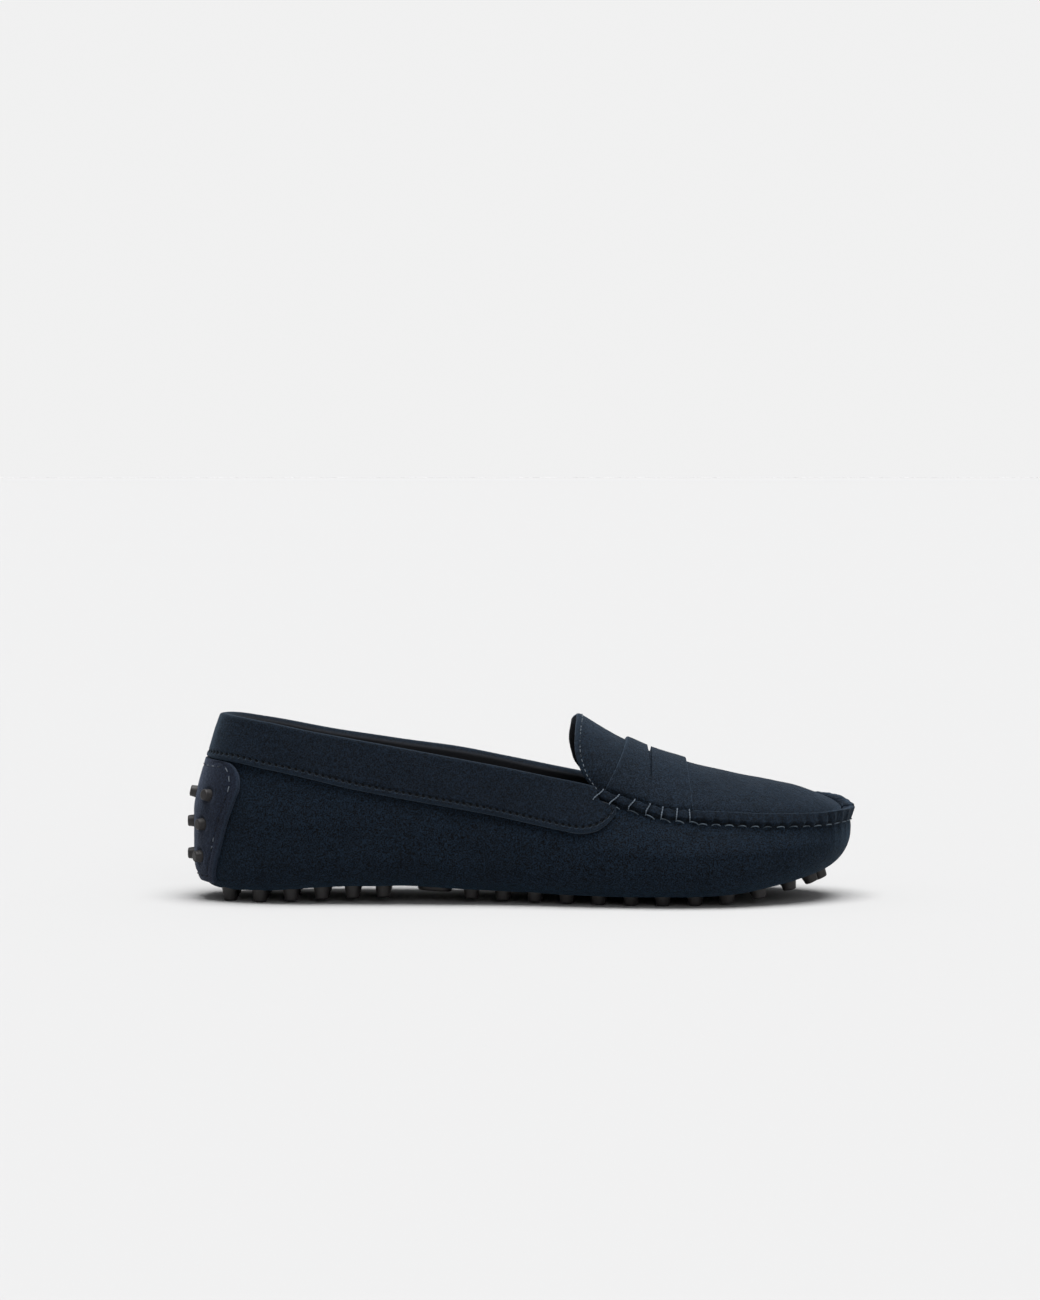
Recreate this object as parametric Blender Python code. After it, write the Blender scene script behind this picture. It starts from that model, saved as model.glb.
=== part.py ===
"""Penny driving moccasin for the right foot, standing empty on its rubber pebbles.

+X runs from heel to toe, -Y is the lateral (outer) side and +Z is up, in metres.
The origin is on the floor, under the middle of the shoe's box.

Every suede piece is read from one function, surface(), which follows a table of
sections along the last. Overlays are the same surface moved out by their thickness.
"""

import bisect
import functools
import math
from collections import namedtuple

import bmesh
import bpy
from mathutils import Matrix, Vector

# Main sizes
LENGTH = 0.2520            # back of the suede heel to the front of the toe
BALL_WIDTH = 0.0860        # widest part of the forefoot
HEEL_TOP = 0.0704          # topline at the back, above the floor
TOE_TOP = 0.0344           # edge of the bowl at the toe, above the floor
TONGUE_TOP = 0.0710        # highest point of the tongue, above the floor
ARCH_RISE = 0.0021         # how far the waist lifts above the heel
TOE_SPRING = 0.0103        # how far the toe tip lifts
INNER_RISE = 0.0042        # how much higher the medial side's edge gets
CORNER = 0.0120            # radius where the side turns under the foot
TOP_LEAN = 0.0100          # how far the side leans in at its top edge
LEAN_START = 0.35          # how gently the side starts to lean in
HEEL_CENTRE = 0.0260       # centre of the round of the heel, from its back
TOE_CENTRE = 0.0300        # centre of the round of the toe, from its front

# Leather and rubber
WALL = 0.0020              # suede with its lining
GAP = 0.0003               # air between touching pieces
APRON_THICK = 0.0018
BAND_THICK = 0.0012
WRAP_GAP = 0.0004          # air under the band and the heel tab, which bend two ways
TAB_THICK = 0.0013
STRAP_THICK = 0.0013
SHEET_THICK = 0.0012       # rubber sheet that carries the pebbles
INSOLE_THICK = 0.0020
PLATE_THICK = 0.0014

# Moccasin seam
THROAT = 0.607             # share of the length where the seam starts
RIDGE_HIGH = 0.0042        # height of its outer face
RIDGE_PROUD = 0.0019       # how far it stands out from the side
RIDGE_CROWN = 0.0010       # how far it stands over the bowl's edge
FREE_FROM = 0.640          # share of the length behind which the tongue's edges come free
FREE_BLEND = 0.038
TOE_SINK = 0.0014          # apron below the bowl's edge at the toe
SIDE_SINK = 0.0004         # the same at the throat
APRON_TIP = 0.985          # how far round the toe the apron's end reaches

# Collar band
BAND_FRONT = 0.637         # share of the length where its rounded front ends
BAND_INSIDE = 0.0070       # depth of the part that is folded inside
ZONE_REACH = 0.0075        # room cut for the seam, on each side of the bowl's edge

# Pebbles
HEEL_STUD_PROUD = 0.0045   # below the suede
FORE_STUD_PROUD = 0.0033
STUD_ROOT = 0.0030         # radius at the root
STUD_TIP = 0.0026          # radius at the tip
STUD_SIDES = 6
STUD_ACROSS = 0.0150       # about the distance between pebbles in a row
HEEL_FIRST_ROW = 0.0516    # rows under the heel, as shares of the length
HEEL_LAST_ROW = 0.2857
HEEL_ROWS = 6
FORE_FIRST_ROW = 0.4195    # rows under the forefoot, as shares of the length
FORE_LAST_ROW = 0.9000
FORE_ROWS = 11
TOE_ROW_TILT = 0.22        # extra forward slant of the pebbles round the toe
STUD_INSET = 0.0010        # pebble centres inside the rim of the flat bottom
SHEET_SHORT = 0.0006       # rubber sheets end inside the rim of the flat bottom
SHEET_MARGIN = 0.0060      # rubber beyond the middle of the rows that face the waist
BACK_STUD_RADIUS = 0.0023
BACK_STUD_PROUD = 0.0024   # behind the heel tab

# Saddle strap
STRAP_REACH = 0.93         # share of the apron's half arc that the strap covers
STRAP_REAR = 0.655         # share of the length, on the centre line
STRAP_REAR_SWEEP = 0.038   # how far its rear edge runs back at the seam
STRAP_FRONT = 0.746
STRAP_FRONT_SWEEP = 0.009
TONGUE_SHOWS = 0.008       # least share of the length that the tongue shows behind it
SLOT_SHARE = 0.691         # centre of the slot
SLOT_LONG = 0.0500
SLOT_WIDE = 0.0016

# Arch plate
PLATE_REAR = 0.337
PLATE_FRONT = 0.390
PLATE_HALF_WIDTH = 0.0180
PLATE_END = 0.55           # straight part of its ends, as a share of its width

# Sampling
RING_STEPS = 26            # stations from heel to toe, on each side
SHORT_STEP = 0.2           # shortest step between stations, as a share of the usual one
CORNER_STEPS = 4
WALL_STEPS = 5
ARC_STEPS = 12             # across the part of the apron that the strap covers
STRAP_STEPS = 5            # from the strap's rear edge to its front
ROUND = 0.35               # part of the level scale that lies in the rounded corner

# A row for each section of the last. Widths and centre line are shares of half
# the ball width, corner is a share of CORNER, lean of TOP_LEAN, belly is the
# widest level's share of the side's height, top lies between TOE_TOP (0) and
# HEEL_TOP (1), inner is a share of INNER_RISE, seat lies between FORE_STUD_PROUD
# (0) and HEEL_STUD_PROUD (1), arch and spring are shares of ARCH_RISE and
# TOE_SPRING.
Section = namedtuple("Section", "share width centre corner lean belly top inner seat arch spring")
SECTIONS = (
    Section(0.00, 0.000, -0.010, 0.62, 1.00, 0.44, 1.000, 0.00, 1.00, 0.00, 0.00),
    Section(0.02, 0.355, -0.010, 0.64, 0.98, 0.44, 0.997, 0.00, 1.00, 0.00, 0.00),
    Section(0.05, 0.518, -0.012, 0.68, 0.95, 0.43, 0.983, -0.05, 1.00, 0.00, 0.00),
    Section(0.10, 0.628, -0.023, 0.75, 0.88, 0.42, 0.936, -0.15, 1.00, 0.00, 0.00),
    Section(0.18, 0.698, -0.023, 0.85, 0.80, 0.40, 0.828, -0.20, 1.00, 0.60, 0.00),
    Section(0.30, 0.692, -0.040, 0.95, 0.75, 0.38, 0.675, 0.00, 1.00, 1.00, 0.00),
    Section(0.42, 0.698, -0.070, 1.00, 0.75, 0.38, 0.522, 0.28, 0.65, 0.48, 0.00),
    Section(0.52, 0.772, -0.070, 1.00, 0.80, 0.40, 0.389, 0.14, 0.25, 0.17, 0.00),
    Section(0.60, 0.880, -0.060, 1.00, 0.90, 0.44, 0.278, 0.03, 0.08, 0.05, 0.00),
    Section(0.66, 0.955, -0.050, 1.00, 0.98, 0.46, 0.150, 0.00, 0.00, 0.00, 0.00),
    Section(0.72, 1.000, -0.035, 1.00, 1.00, 0.48, 0.047, 0.12, 0.00, 0.00, 0.00),
    Section(0.80, 0.965, -0.023, 1.00, 0.95, 0.50, 0.014, 0.42, 0.00, 0.00, 0.06),
    Section(0.88, 0.826, 0.000, 1.00, 0.75, 0.52, -0.017, 0.80, 0.00, 0.00, 0.34),
    Section(0.94, 0.628, 0.023, 0.95, 0.45, 0.56, -0.022, 1.00, 0.00, 0.00, 0.655),
    Section(0.98, 0.384, 0.045, 0.95, 0.20, 0.60, -0.005, 0.72, 0.00, 0.00, 0.88),
    Section(1.00, 0.000, 0.070, 0.95, 0.10, 0.60, 0.000, 0.00, 0.00, 0.00, 1.00),
)

# Centre line of the apron: height between TOE_TOP (0) and TONGUE_TOP (1).
Crown = namedtuple("Crown", "share height")
APRON_LINE = (
    Crown(0.570, 1.055),
    Crown(0.587, 0.992),
    Crown(0.615, 0.874),
    Crown(0.649, 0.746),
    Crown(0.698, 0.593),
    Crown(0.746, 0.495),
    Crown(0.795, 0.415),
    Crown(0.868, 0.306),
    Crown(0.917, 0.246),
    Crown(0.955, 0.164),
    Crown(0.977, 0.098),
    Crown(1.000, 0.016),
)

# Rear edge of the tongue: place across the arc (-1 and 1 at the seam, 0 in the
# middle) and the share of the length that the edge reaches there.
Edge = namedtuple("Edge", "across share")
TONGUE_EDGE = (
    Edge(-1.00, 0.615),
    Edge(-0.94, 0.602),
    Edge(-0.80, 0.583),
    Edge(-0.60, 0.575),
    Edge(-0.35, 0.577),
    Edge(-0.12, 0.580),
    Edge(0.12, 0.579),
    Edge(0.35, 0.571),
    Edge(0.60, 0.566),
    Edge(0.80, 0.573),
    Edge(0.94, 0.595),
    Edge(1.00, 0.611),
)

# Lower edge of the collar band: height as a share of HEEL_TOP.
Hem = namedtuple("Hem", "share height")
BAND_HEM = (
    Hem(0.000, 0.774),
    Hem(0.050, 0.763),
    Hem(0.100, 0.736),
    Hem(0.157, 0.696),
    Hem(0.240, 0.626),
    Hem(0.460, 0.483),
    Hem(0.553, 0.415),
    Hem(0.584, 0.398),
    Hem(0.604, 0.409),
    Hem(0.623, 0.447),
    Hem(0.637, 0.503),
)

# Heel tab: height of a row as a share of HEEL_TOP, and how far forward of the
# heel's back its edge reaches, as a share of HEEL_CENTRE.
TabRow = namedtuple("TabRow", "height reach")
TAB_ROWS = (
    TabRow(0.770, 0.30),
    TabRow(0.754, 0.44),
    TabRow(0.726, 0.55),
    TabRow(0.680, 0.63),
    TabRow(0.630, 0.65),
    TabRow(0.559, 0.60),
    TabRow(0.483, 0.535),
    TabRow(0.406, 0.47),
    TabRow(0.274, 0.38),
    TabRow(0.173, 0.30),
    TabRow(0.140, 0.27),
    TabRow(0.107, 0.24),
)
TAB_SHOULDER = 0.0006      # how far the top edge drops from the middle to its ends
TAB_COLUMNS = 12

# Pebbles on the back of the heel: height as a share of HEEL_TOP, and the reach
# of the outer columns as a share of HEEL_CENTRE.
BackRow = namedtuple("BackRow", "height reach")
BACK_ROWS = (
    BackRow(0.575, 0.21),
    BackRow(0.420, 0.15),
    BackRow(0.242, 0.11),
)
BACK_PAD_MARGIN = 0.0045
BACK_PAD_SIDE = 1.35       # width of the strip over the width of its top row of pebbles
BACK_GAP = 0.0006          # air behind the rubber strip, which bends two ways

# Last pebbles, round the foot of the toe's curve: share of the length, and how
# far from the centre line they lie, as a share of TOE_CENTRE.
ToeRow = namedtuple("ToeRow", "share spread")
TOE_ROWS = (
    ToeRow(0.933, 0.333),
    ToeRow(0.949, 0.127),
)


def monotone(xs, ys, x):
    """Value at x of a smooth curve through the points that never overshoots them."""
    last = len(xs) - 2
    i = min(max(bisect.bisect_right(xs, x) - 1, 0), last)

    def secant(k):
        return (ys[k + 1] - ys[k]) / (xs[k + 1] - xs[k])

    def slope(k):
        if k == 0:
            return secant(0)
        if k == len(xs) - 1:
            return secant(last)
        before, after = secant(k - 1), secant(k)
        if before * after <= 0:
            return 0.0
        return 2 * before * after / (before + after)

    width = xs[i + 1] - xs[i]
    t = min(max((x - xs[i]) / width, 0.0), 1.0)
    h00 = (1 + 2 * t) * (1 - t) ** 2
    h10 = t * (1 - t) ** 2
    h01 = t * t * (3 - 2 * t)
    h11 = t * t * (t - 1)
    return (h00 * ys[i] + h10 * width * slope(i)
            + h01 * ys[i + 1] + h11 * width * slope(i + 1))


def turn_of(share):
    """Place round one side of the ring, 0 at the heel's back and 1 at the toe tip."""
    return math.acos(1 - 2 * min(max(share, 0.0), 1.0)) / math.pi


def share_of(turn):
    return (1 - math.cos(math.pi * turn)) / 2


@functools.lru_cache(maxsize=None)
def read(column, share):
    """A column of SECTIONS at a share of the length."""
    shares = [row.share for row in SECTIONS]
    values = [getattr(row, column) for row in SECTIONS]
    if column == "width":
        shares = [turn_of(value) for value in shares]
        share = turn_of(share)
    return monotone(shares, values, share)


def table(rows, column, key, value):
    """A column of one of the short tables, read at a value of its key column."""
    keys = [getattr(row, key) for row in rows]
    values = [getattr(row, column) for row in rows]
    return monotone(keys, values, value)


def half_width(x):
    return read("width", x / LENGTH) * BALL_WIDTH / 2


def centre_line(x):
    return read("centre", x / LENGTH) * BALL_WIDTH / 2


def corner_in(x):
    return read("corner", x / LENGTH) * CORNER


def flat_half(x):
    """Half width of the flat bottom, which is round at heel and toe."""
    half = half_width(x) - corner_in(x)
    for centre, end in ((HEEL_CENTRE, 0.0), (LENGTH - TOE_CENTRE, LENGTH)):
        beyond = (x - centre) / (end - centre)
        if beyond > 0:
            radius = abs(end - centre) - corner_in(end)
            half = min(half, math.sqrt(max(radius ** 2 - (x - centre) ** 2, 0.0)))
    return half


def bottom_height(x):
    """Underside of the suede above the floor."""
    share = x / LENGTH
    proud = FORE_STUD_PROUD + read("seat", share) * (HEEL_STUD_PROUD - FORE_STUD_PROUD)
    return proud + read("arch", share) * ARCH_RISE + read("spring", share) * TOE_SPRING


def top_height(x, medial):
    """Upper edge of the bowl above the floor, on the lateral or the medial side."""
    share = x / LENGTH
    inner = read("inner", share) * INNER_RISE if medial else 0.0
    return TOE_TOP + read("top", share) * (HEEL_TOP - TOE_TOP) + inner


def outline(ring):
    """Widest outline: ring 0 heel, 0 to 1 lateral side, 1 toe tip, 1 to 2 medial side.

    Returns the point and the inner point that the section leans towards.
    """
    ring = ring % 2.0
    side = -1 if ring <= 1 else 1
    x = LENGTH * share_of(ring if ring <= 1 else 2 - ring)
    inner_x = min(max(x, HEEL_CENTRE), LENGTH - TOE_CENTRE)
    point = Vector((x, centre_line(x) + side * half_width(x), 0))
    return point, Vector((inner_x, centre_line(inner_x), 0))


def level_point(ring, level):
    """Point of the bowl's outside. Level 0 is the flat bottom's rim and 1 the top edge."""
    point, inner = outline(ring)
    x = point.x
    medial = ring % 2.0 > 1
    side_height = top_height(x, medial) - bottom_height(x)
    corner_share = CORNER / side_height
    if level < ROUND:
        angle = level / ROUND * math.pi / 2
        height_share = corner_share * (1 - math.cos(angle))
        inset = corner_in(x) * (1 - math.sin(angle))
    else:
        height_share = corner_share + (level - ROUND) / (1 - ROUND) * (1 - corner_share)
        belly = read("belly", x / LENGTH)
        above = max((height_share - belly) / (1 - belly), 0.0)
        inset = read("lean", x / LENGTH) * TOP_LEAN * above ** 2 * (1 + LEAN_START) / (above + LEAN_START)
    placed = point + (inner - point).normalized() * inset
    low = bottom_height(placed.x)
    placed.z = low + height_share * (top_height(placed.x, medial) - low)
    return placed


def level_at(ring, height):
    """Level whose point lies at a height above the floor, found by halving."""
    low, high = 0.0, 1.0
    for _ in range(30):
        middle = (low + high) / 2
        if level_point(ring, middle).z < height:
            low = middle
        else:
            high = middle
    return (low + high) / 2


def directions(ring, level):
    """Unit vectors out of the side and up along it."""
    step = 0.004
    around = level_point(ring + step, level) - level_point(ring - step, level)
    upward = level_point(ring, min(level + step, 1.0)) - level_point(ring, max(level - step, 0.0))
    return around.cross(upward).normalized(), upward.normalized()


def surface(ring, level, out=0.0, lift=0.0):
    """Point of the bowl's outside, moved out of the side and up along it."""
    outward, upward = directions(ring, level)
    return level_point(ring, level) + outward * out + upward * lift


def apron_edge(ring, share):
    """Point where the apron meets the inside of the bowl's edge."""
    forward = min(max((share - THROAT) / (1 - THROAT), 0.0), 1.0)
    free = min(max((FREE_FROM - share) / FREE_BLEND, 0.0), 1.0)
    inward = WALL + GAP + free * free * (3 - 2 * free) * (BAND_THICK + 4 * GAP)
    sink = SIDE_SINK + (TOE_SINK - SIDE_SINK) * forward
    return surface(ring, 1.0, -inward, -sink)


def apron_line_point(share, across):
    """Point of the apron's upper side on the arc from edge to edge, across from -1 to 1."""
    turn = turn_of(share)
    left = apron_edge(turn, share)
    right = apron_edge(2 - turn, share)
    middle = (left + right) / 2
    half = (right - left) / 2
    top = TOE_TOP + table(APRON_LINE, "height", "share", share) * (TONGUE_TOP - TOE_TOP)
    crown = max(top - middle.z, 0.0004)
    radius = (half.length ** 2 + crown ** 2) / (2 * crown)
    reach = 2 * math.atan(crown / half.length)
    angle = reach * across
    rise = radius * (math.cos(angle) - math.cos(reach))
    return middle + half * (radius * math.sin(angle) / half.length) + Vector((0, 0, rise))


def apron_point(share, across, out=0.0):
    """Point of the apron, moved along its normal."""
    point = apron_line_point(share, across)
    step = 0.002
    ahead = min(share + step, 0.9995)
    along = apron_line_point(ahead, across) - apron_line_point(share - step, across)
    wide = 0.01
    inner, outer = max(across - wide, -1.0), min(across + wide, 1.0)
    sideways = apron_line_point(share, outer) - apron_line_point(share, inner)
    return point + along.cross(sideways).normalized() * out


def material(name, colour, roughness):
    made = bpy.data.materials.new(name)
    made.use_nodes = True
    shader = made.node_tree.nodes["Principled BSDF"]
    shader.inputs["Base Color"].default_value = (*colour, 1.0)
    shader.inputs["Roughness"].default_value = roughness
    shader.inputs["Metallic"].default_value = 0.0
    return made


def place(name, shape, collection, finish):
    """Object from a finished bmesh, with its faces pointing out."""
    bmesh.ops.recalc_face_normals(shape, faces=shape.faces)
    mesh = bpy.data.meshes.new(name)
    shape.to_mesh(mesh)
    shape.free()
    mesh.shade_smooth()
    mesh.set_sharp_from_angle(angle=math.radians(35))
    made = bpy.data.objects.new(name, mesh)
    collection.objects.link(made)
    if finish:
        mesh.materials.append(finish)
    return made


def ring_solid(rings):
    """Closed solid through rings of points, with both end rings bridged side to side."""
    shape = bmesh.new()
    rows = [[shape.verts.new(point) for point in ring] for ring in rings]
    count = len(rows[0])
    for lower, upper in zip(rows, rows[1:]):
        for i in range(count):
            j = (i + 1) % count
            shape.faces.new((lower[i], lower[j], upper[j], upper[i]))
    half = count // 2
    for row in (rows[0], rows[-1]):
        shape.faces.new((row[0], row[1], row[-1]))
        for i in range(1, half - 1):
            shape.faces.new((row[i], row[i + 1], row[-i - 1], row[-i]))
        shape.faces.new((row[half - 1], row[half], row[half + 1]))
    return shape


def sheet_solid(outer, inner):
    """Closed solid between two grids of points with the same rows and columns."""
    shape = bmesh.new()
    skins = [[[shape.verts.new(point) for point in row] for row in grid] for grid in (outer, inner)]
    rows, columns = len(outer), len(outer[0])
    for skin in skins:
        for i in range(rows - 1):
            for j in range(columns - 1):
                shape.faces.new((skin[i][j], skin[i][j + 1], skin[i + 1][j + 1], skin[i + 1][j]))
    top, low = skins
    for i in range(rows - 1):
        for j in (0, columns - 1):
            shape.faces.new((top[i][j], top[i + 1][j], low[i + 1][j], low[i][j]))
    for j in range(columns - 1):
        for i in (0, rows - 1):
            shape.faces.new((top[i][j], top[i][j + 1], low[i][j + 1], low[i][j]))
    return shape


def steps(first, last, count):
    """Evenly spaced values, both ends among them."""
    return [first + (last - first) * i / count for i in range(count + 1)]


def ring_places():
    return [i / RING_STEPS for i in range(2 * RING_STEPS)]


def ring_range(first, last):
    """Both ends, and the bowl's own stations between them."""
    inner = range(math.floor(first * RING_STEPS) + 1, math.ceil(last * RING_STEPS))
    between = [i / RING_STEPS for i in inner]
    least = SHORT_STEP / RING_STEPS
    return [first] + [ring for ring in between if ring - first > least and last - ring > least] + [last]


def levels():
    return steps(0.0, ROUND, CORNER_STEPS) + steps(ROUND, 1.0, WALL_STEPS)[1:]


def boolean(target, operation, tool):
    change = target.modifiers.new(tool.name, "BOOLEAN")
    change.operation = operation
    change.solver = "EXACT"
    change.object = tool
    tool.hide_render = True
    tool.display_type = "WIRE"


def tapered_pegs(pegs, sides):
    """One mesh of tapered pegs, each given as start, end and the two radii."""
    shape = bmesh.new()
    for start, end, radius_start, radius_end in pegs:
        axis = end - start
        turn = Vector((0, 0, 1)).rotation_difference(axis).to_matrix().to_4x4()
        bmesh.ops.create_cone(
            shape, cap_ends=True, segments=sides, radius1=radius_start, radius2=radius_end,
            depth=axis.length, matrix=Matrix.Translation((start + end) / 2) @ turn)
    return shape


def make_upper(parts, suede):
    places = ring_places()
    outside = [[surface(ring, level) for ring in places] for level in levels()]
    inside = [[surface(ring, level, -WALL) for ring in places] for level in reversed(levels())]
    return place("upper", ring_solid(outside + inside), parts, suede)


def make_apron(parts, suede):
    """Apron and tongue: a crowned sheet from the tongue's rear edge to the toe."""
    across = [-1.0] + steps(-STRAP_REACH, STRAP_REACH, ARC_STEPS) + [1.0]
    columns = []
    for side in across:
        edge = table(TONGUE_EDGE, "share", "across", side)
        rear, front = strap_edges(side)
        shares = steps(edge, rear, 3)[:-1] + steps(rear, front, STRAP_STEPS)
        shares += [share_of(turn) for turn in steps(turn_of(front), APRON_TIP, 9)[1:]]
        columns.append([(share, side) for share in shares])
    grids = [[[apron_point(share, side, out) for share, side in column] for column in columns]
             for out in (0.0, -APRON_THICK)]
    return place("apron", sheet_solid(*grids), parts, suede)


def strap_edges(across):
    """Rear and front edge of the saddle strap as shares of the length."""
    behind = table(TONGUE_EDGE, "share", "across", across) + TONGUE_SHOWS
    return (max(STRAP_REAR - STRAP_REAR_SWEEP * across ** 2, behind),
            STRAP_FRONT + STRAP_FRONT_SWEEP * across ** 2)


def make_saddle_strap(parts, cutters, suede):
    grids = []
    for out in (GAP + STRAP_THICK, GAP):
        rows = []
        for across in steps(-STRAP_REACH, STRAP_REACH, ARC_STEPS):
            rear, front = strap_edges(across)
            rows.append([apron_point(share, across, out) for share in steps(rear, front, STRAP_STEPS)])
        grids.append(rows)
    strap = place("saddle_strap", sheet_solid(*grids), parts, suede)
    slot = bmesh.new()
    bmesh.ops.create_cone(slot, cap_ends=True, segments=16, radius1=1.0, radius2=1.0, depth=TONGUE_TOP)
    middle = Vector((SLOT_SHARE * LENGTH, centre_line(SLOT_SHARE * LENGTH), TONGUE_TOP))
    shaping = Matrix.Translation(middle) @ Matrix.Diagonal((SLOT_WIDE / 2, SLOT_LONG / 2, 1, 1))
    bmesh.ops.transform(slot, matrix=shaping, verts=slot.verts)
    boolean(strap, "DIFFERENCE", place("slot_cutter", slot, cutters, None))
    return strap


def over_edge(ring, path):
    """Points from (level, out, lift) steps that run up the side and over the bowl's edge."""
    return [surface(ring, level, out, lift) for level, out, lift in path]


def ridge_path(ring, clearance=0.0):
    """Outer and inner path of the moccasin seam's section."""
    edge = surface(ring, 1.0)
    low = level_at(ring, edge.z - RIDGE_HIGH)
    middle = (low + 1) / 2
    proud = GAP + RIDGE_PROUD
    outer = ((low, 0.6 * proud, 0), (middle, proud, 0), (1.0, 0.95 * proud, 0),
             (1.0, 0.2 * proud, 0.8 * RIDGE_CROWN), (1.0, -WALL / 2, RIDGE_CROWN),
             (1.0, -0.9 * WALL, 0.7 * RIDGE_CROWN))
    inner = ((low, GAP, 0), (middle, GAP, 0), (1.0, GAP, 0),
             (1.0, GAP, GAP), (1.0, -WALL / 2, GAP), (1.0, -0.9 * WALL, GAP))
    return outer, inner


def make_seam_ridge(parts, suede):
    turn = turn_of(THROAT)
    places = ring_range(turn, 2 - turn)
    outer = [over_edge(ring, ridge_path(ring)[0]) for ring in places]
    inner = [over_edge(ring, ridge_path(ring)[1]) for ring in places]
    return place("seam_ridge", sheet_solid(outer, inner), parts, suede)


def make_collar_band(parts, cutters, suede):
    """Cuff folded over the bowl's edge, cut away where the moccasin seam runs."""
    turn = turn_of(BAND_FRONT)
    places = ring_range(-turn, turn)
    thick = WRAP_GAP + BAND_THICK
    outer, inner = [], []
    for ring in places:
        share = share_of(abs(ring))
        low = level_at(ring, table(BAND_HEM, "height", "share", share) * HEEL_TOP)
        leg = steps(low, 1.0, 3)
        depth = level_at(ring, surface(ring, 1.0).z - BAND_INSIDE)
        outer.append(over_edge(ring, [(level, thick, 0) for level in leg]
                               + [(1.0, 0.35 * thick, 0.8 * thick), (1.0, -WALL / 2, thick),
                                  (1.0, -WALL - 0.35 * thick, 0.8 * thick),
                                  (1.0, -WALL - thick, 0), (depth, -WALL - thick, 0)]))
        inner.append(over_edge(ring, [(level, WRAP_GAP, 0) for level in leg]
                               + [(1.0, GAP, GAP), (1.0, -WALL / 2, GAP), (1.0, -WALL - GAP, GAP),
                                  (1.0, -WALL - GAP, 0), (depth, -WALL - GAP, 0)]))
    band = place("collar_band", sheet_solid(outer, inner), parts, suede)
    for name, first, last in (("lateral", turn_of(THROAT) - 0.002, turn + 0.02),
                              ("medial", 2 - turn - 0.02, 2 - turn_of(THROAT) + 0.002)):
        zone_out, zone_in = [], []
        for ring in steps(first, last, 4):
            low = level_at(ring, surface(ring, 1.0).z - RIDGE_HIGH - GAP)
            zone_out.append([surface(ring, low, ZONE_REACH), surface(ring, 1.0, ZONE_REACH, ZONE_REACH)])
            zone_in.append([surface(ring, low, -ZONE_REACH), surface(ring, 1.0, -ZONE_REACH, ZONE_REACH)])
        cutter = place(f"seam_zone_{name}", sheet_solid(zone_out, zone_in), cutters, None)
        boolean(band, "DIFFERENCE", cutter)
    return band


def make_heel_tab(parts, suede):
    grids = []
    columns = steps(-1.0, 1.0, TAB_COLUMNS)
    for out in (WRAP_GAP + TAB_THICK, WRAP_GAP):
        rows = []
        for row in TAB_ROWS:
            turn = turn_of(row.reach * HEEL_CENTRE / LENGTH)
            drop = TAB_SHOULDER * (row is TAB_ROWS[0])
            rows.append([surface(turn * column,
                                 level_at(turn * column, row.height * HEEL_TOP - drop * column ** 2), out)
                         for column in columns])
        grids.append(rows)
    return place("heel_tab", sheet_solid(*grids), parts, suede)


def floor_ring(share_of_corner, above):
    """Ring round the flat bottom, inset by a share of the corner, at a height over the suede."""
    points = []
    for ring in ring_places():
        point, inner = outline(ring)
        inset = corner_in(point.x) * share_of_corner
        placed = point + (inner - point).normalized() * inset
        placed.z = bottom_height(placed.x) + above
        points.append(placed)
    return points


def make_insole(parts, lining):
    low = WALL + GAP + SHEET_THICK + GAP
    rings = [floor_ring(0.72, low), floor_ring(0.66, low + INSOLE_THICK)]
    return place("insole", ring_solid(rings), parts, lining)


def sheet_between(rear, front, low, high):
    """Rubber sheet on the flat bottom between two places along the foot."""
    across = steps(-1.0, 1.0, 2)
    grids = []
    for above in (high, low):
        rows = []
        for x in steps(rear, front, 8):
            half = flat_half(x)
            rows.append([Vector((x, centre_line(x) + half * side, bottom_height(x) + above))
                         for side in across])
        grids.append(rows)
    return sheet_solid(*grids)


def stud_rows(first, last, count):
    """Places of the pebbles: each row has one at both edges, each second row one in the middle."""
    places = []
    for row, share in enumerate(steps(first, last, count - 1)):
        x = LENGTH * share
        half = flat_half(x) - STUD_INSET
        odd = row % 2
        across = max(2 * round(half / STUD_ACROSS - odd / 2) + odd, 1)
        places += [(x, centre_line(x) + spot * half) for spot in steps(-1.0, 1.0, across)]
    return places


def toe_studs():
    """Places of the pebbles round the foot of the toe's curve."""
    places = []
    for row in TOE_ROWS:
        x = row.share * LENGTH
        places += [(x, centre_line(x) + side * row.spread * TOE_CENTRE) for side in (-1, 1)]
    return places


def stud_axis(x):
    """Direction in which a pebble points out of the bottom."""
    step = 0.002
    slope = (bottom_height(x + step) - bottom_height(x - step)) / (2 * step)
    slope += TOE_ROW_TILT * (x >= TOE_ROWS[0].share * LENGTH)
    return Vector((slope, 0, -1)).normalized()


def bottom_pegs(places, start, end, root, tip):
    """Pegs along the pebbles' axes, from start to end measured out of the suede."""
    pegs = []
    for x, y in places:
        skin = Vector((x, y, bottom_height(x)))
        axis = stud_axis(x)
        pegs.append((skin + axis * start, skin + axis * end, root, tip))
    return pegs


def make_sole(name, places, proud, rear, front, parts, cutters, rubber):
    low = WALL + GAP
    sole = place(name, sheet_between(rear, front, low, low + SHEET_THICK), parts, rubber)
    pegs = bottom_pegs(places, -low - SHEET_THICK / 2, proud, STUD_ROOT, STUD_TIP)
    studs = place(f"{name}_pebbles", tapered_pegs(pegs, STUD_SIDES), cutters, None)
    boolean(sole, "UNION", studs)
    return sole


def back_stud_places():
    """Ring and level of each pebble on the back of the heel."""
    places = []
    for row in BACK_ROWS:
        turn = turn_of(row.reach * HEEL_CENTRE / LENGTH)
        for column in (-1, 0, 1):
            ring = turn * column
            places.append((ring, level_at(ring, row.height * HEEL_TOP)))
    return places


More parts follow.
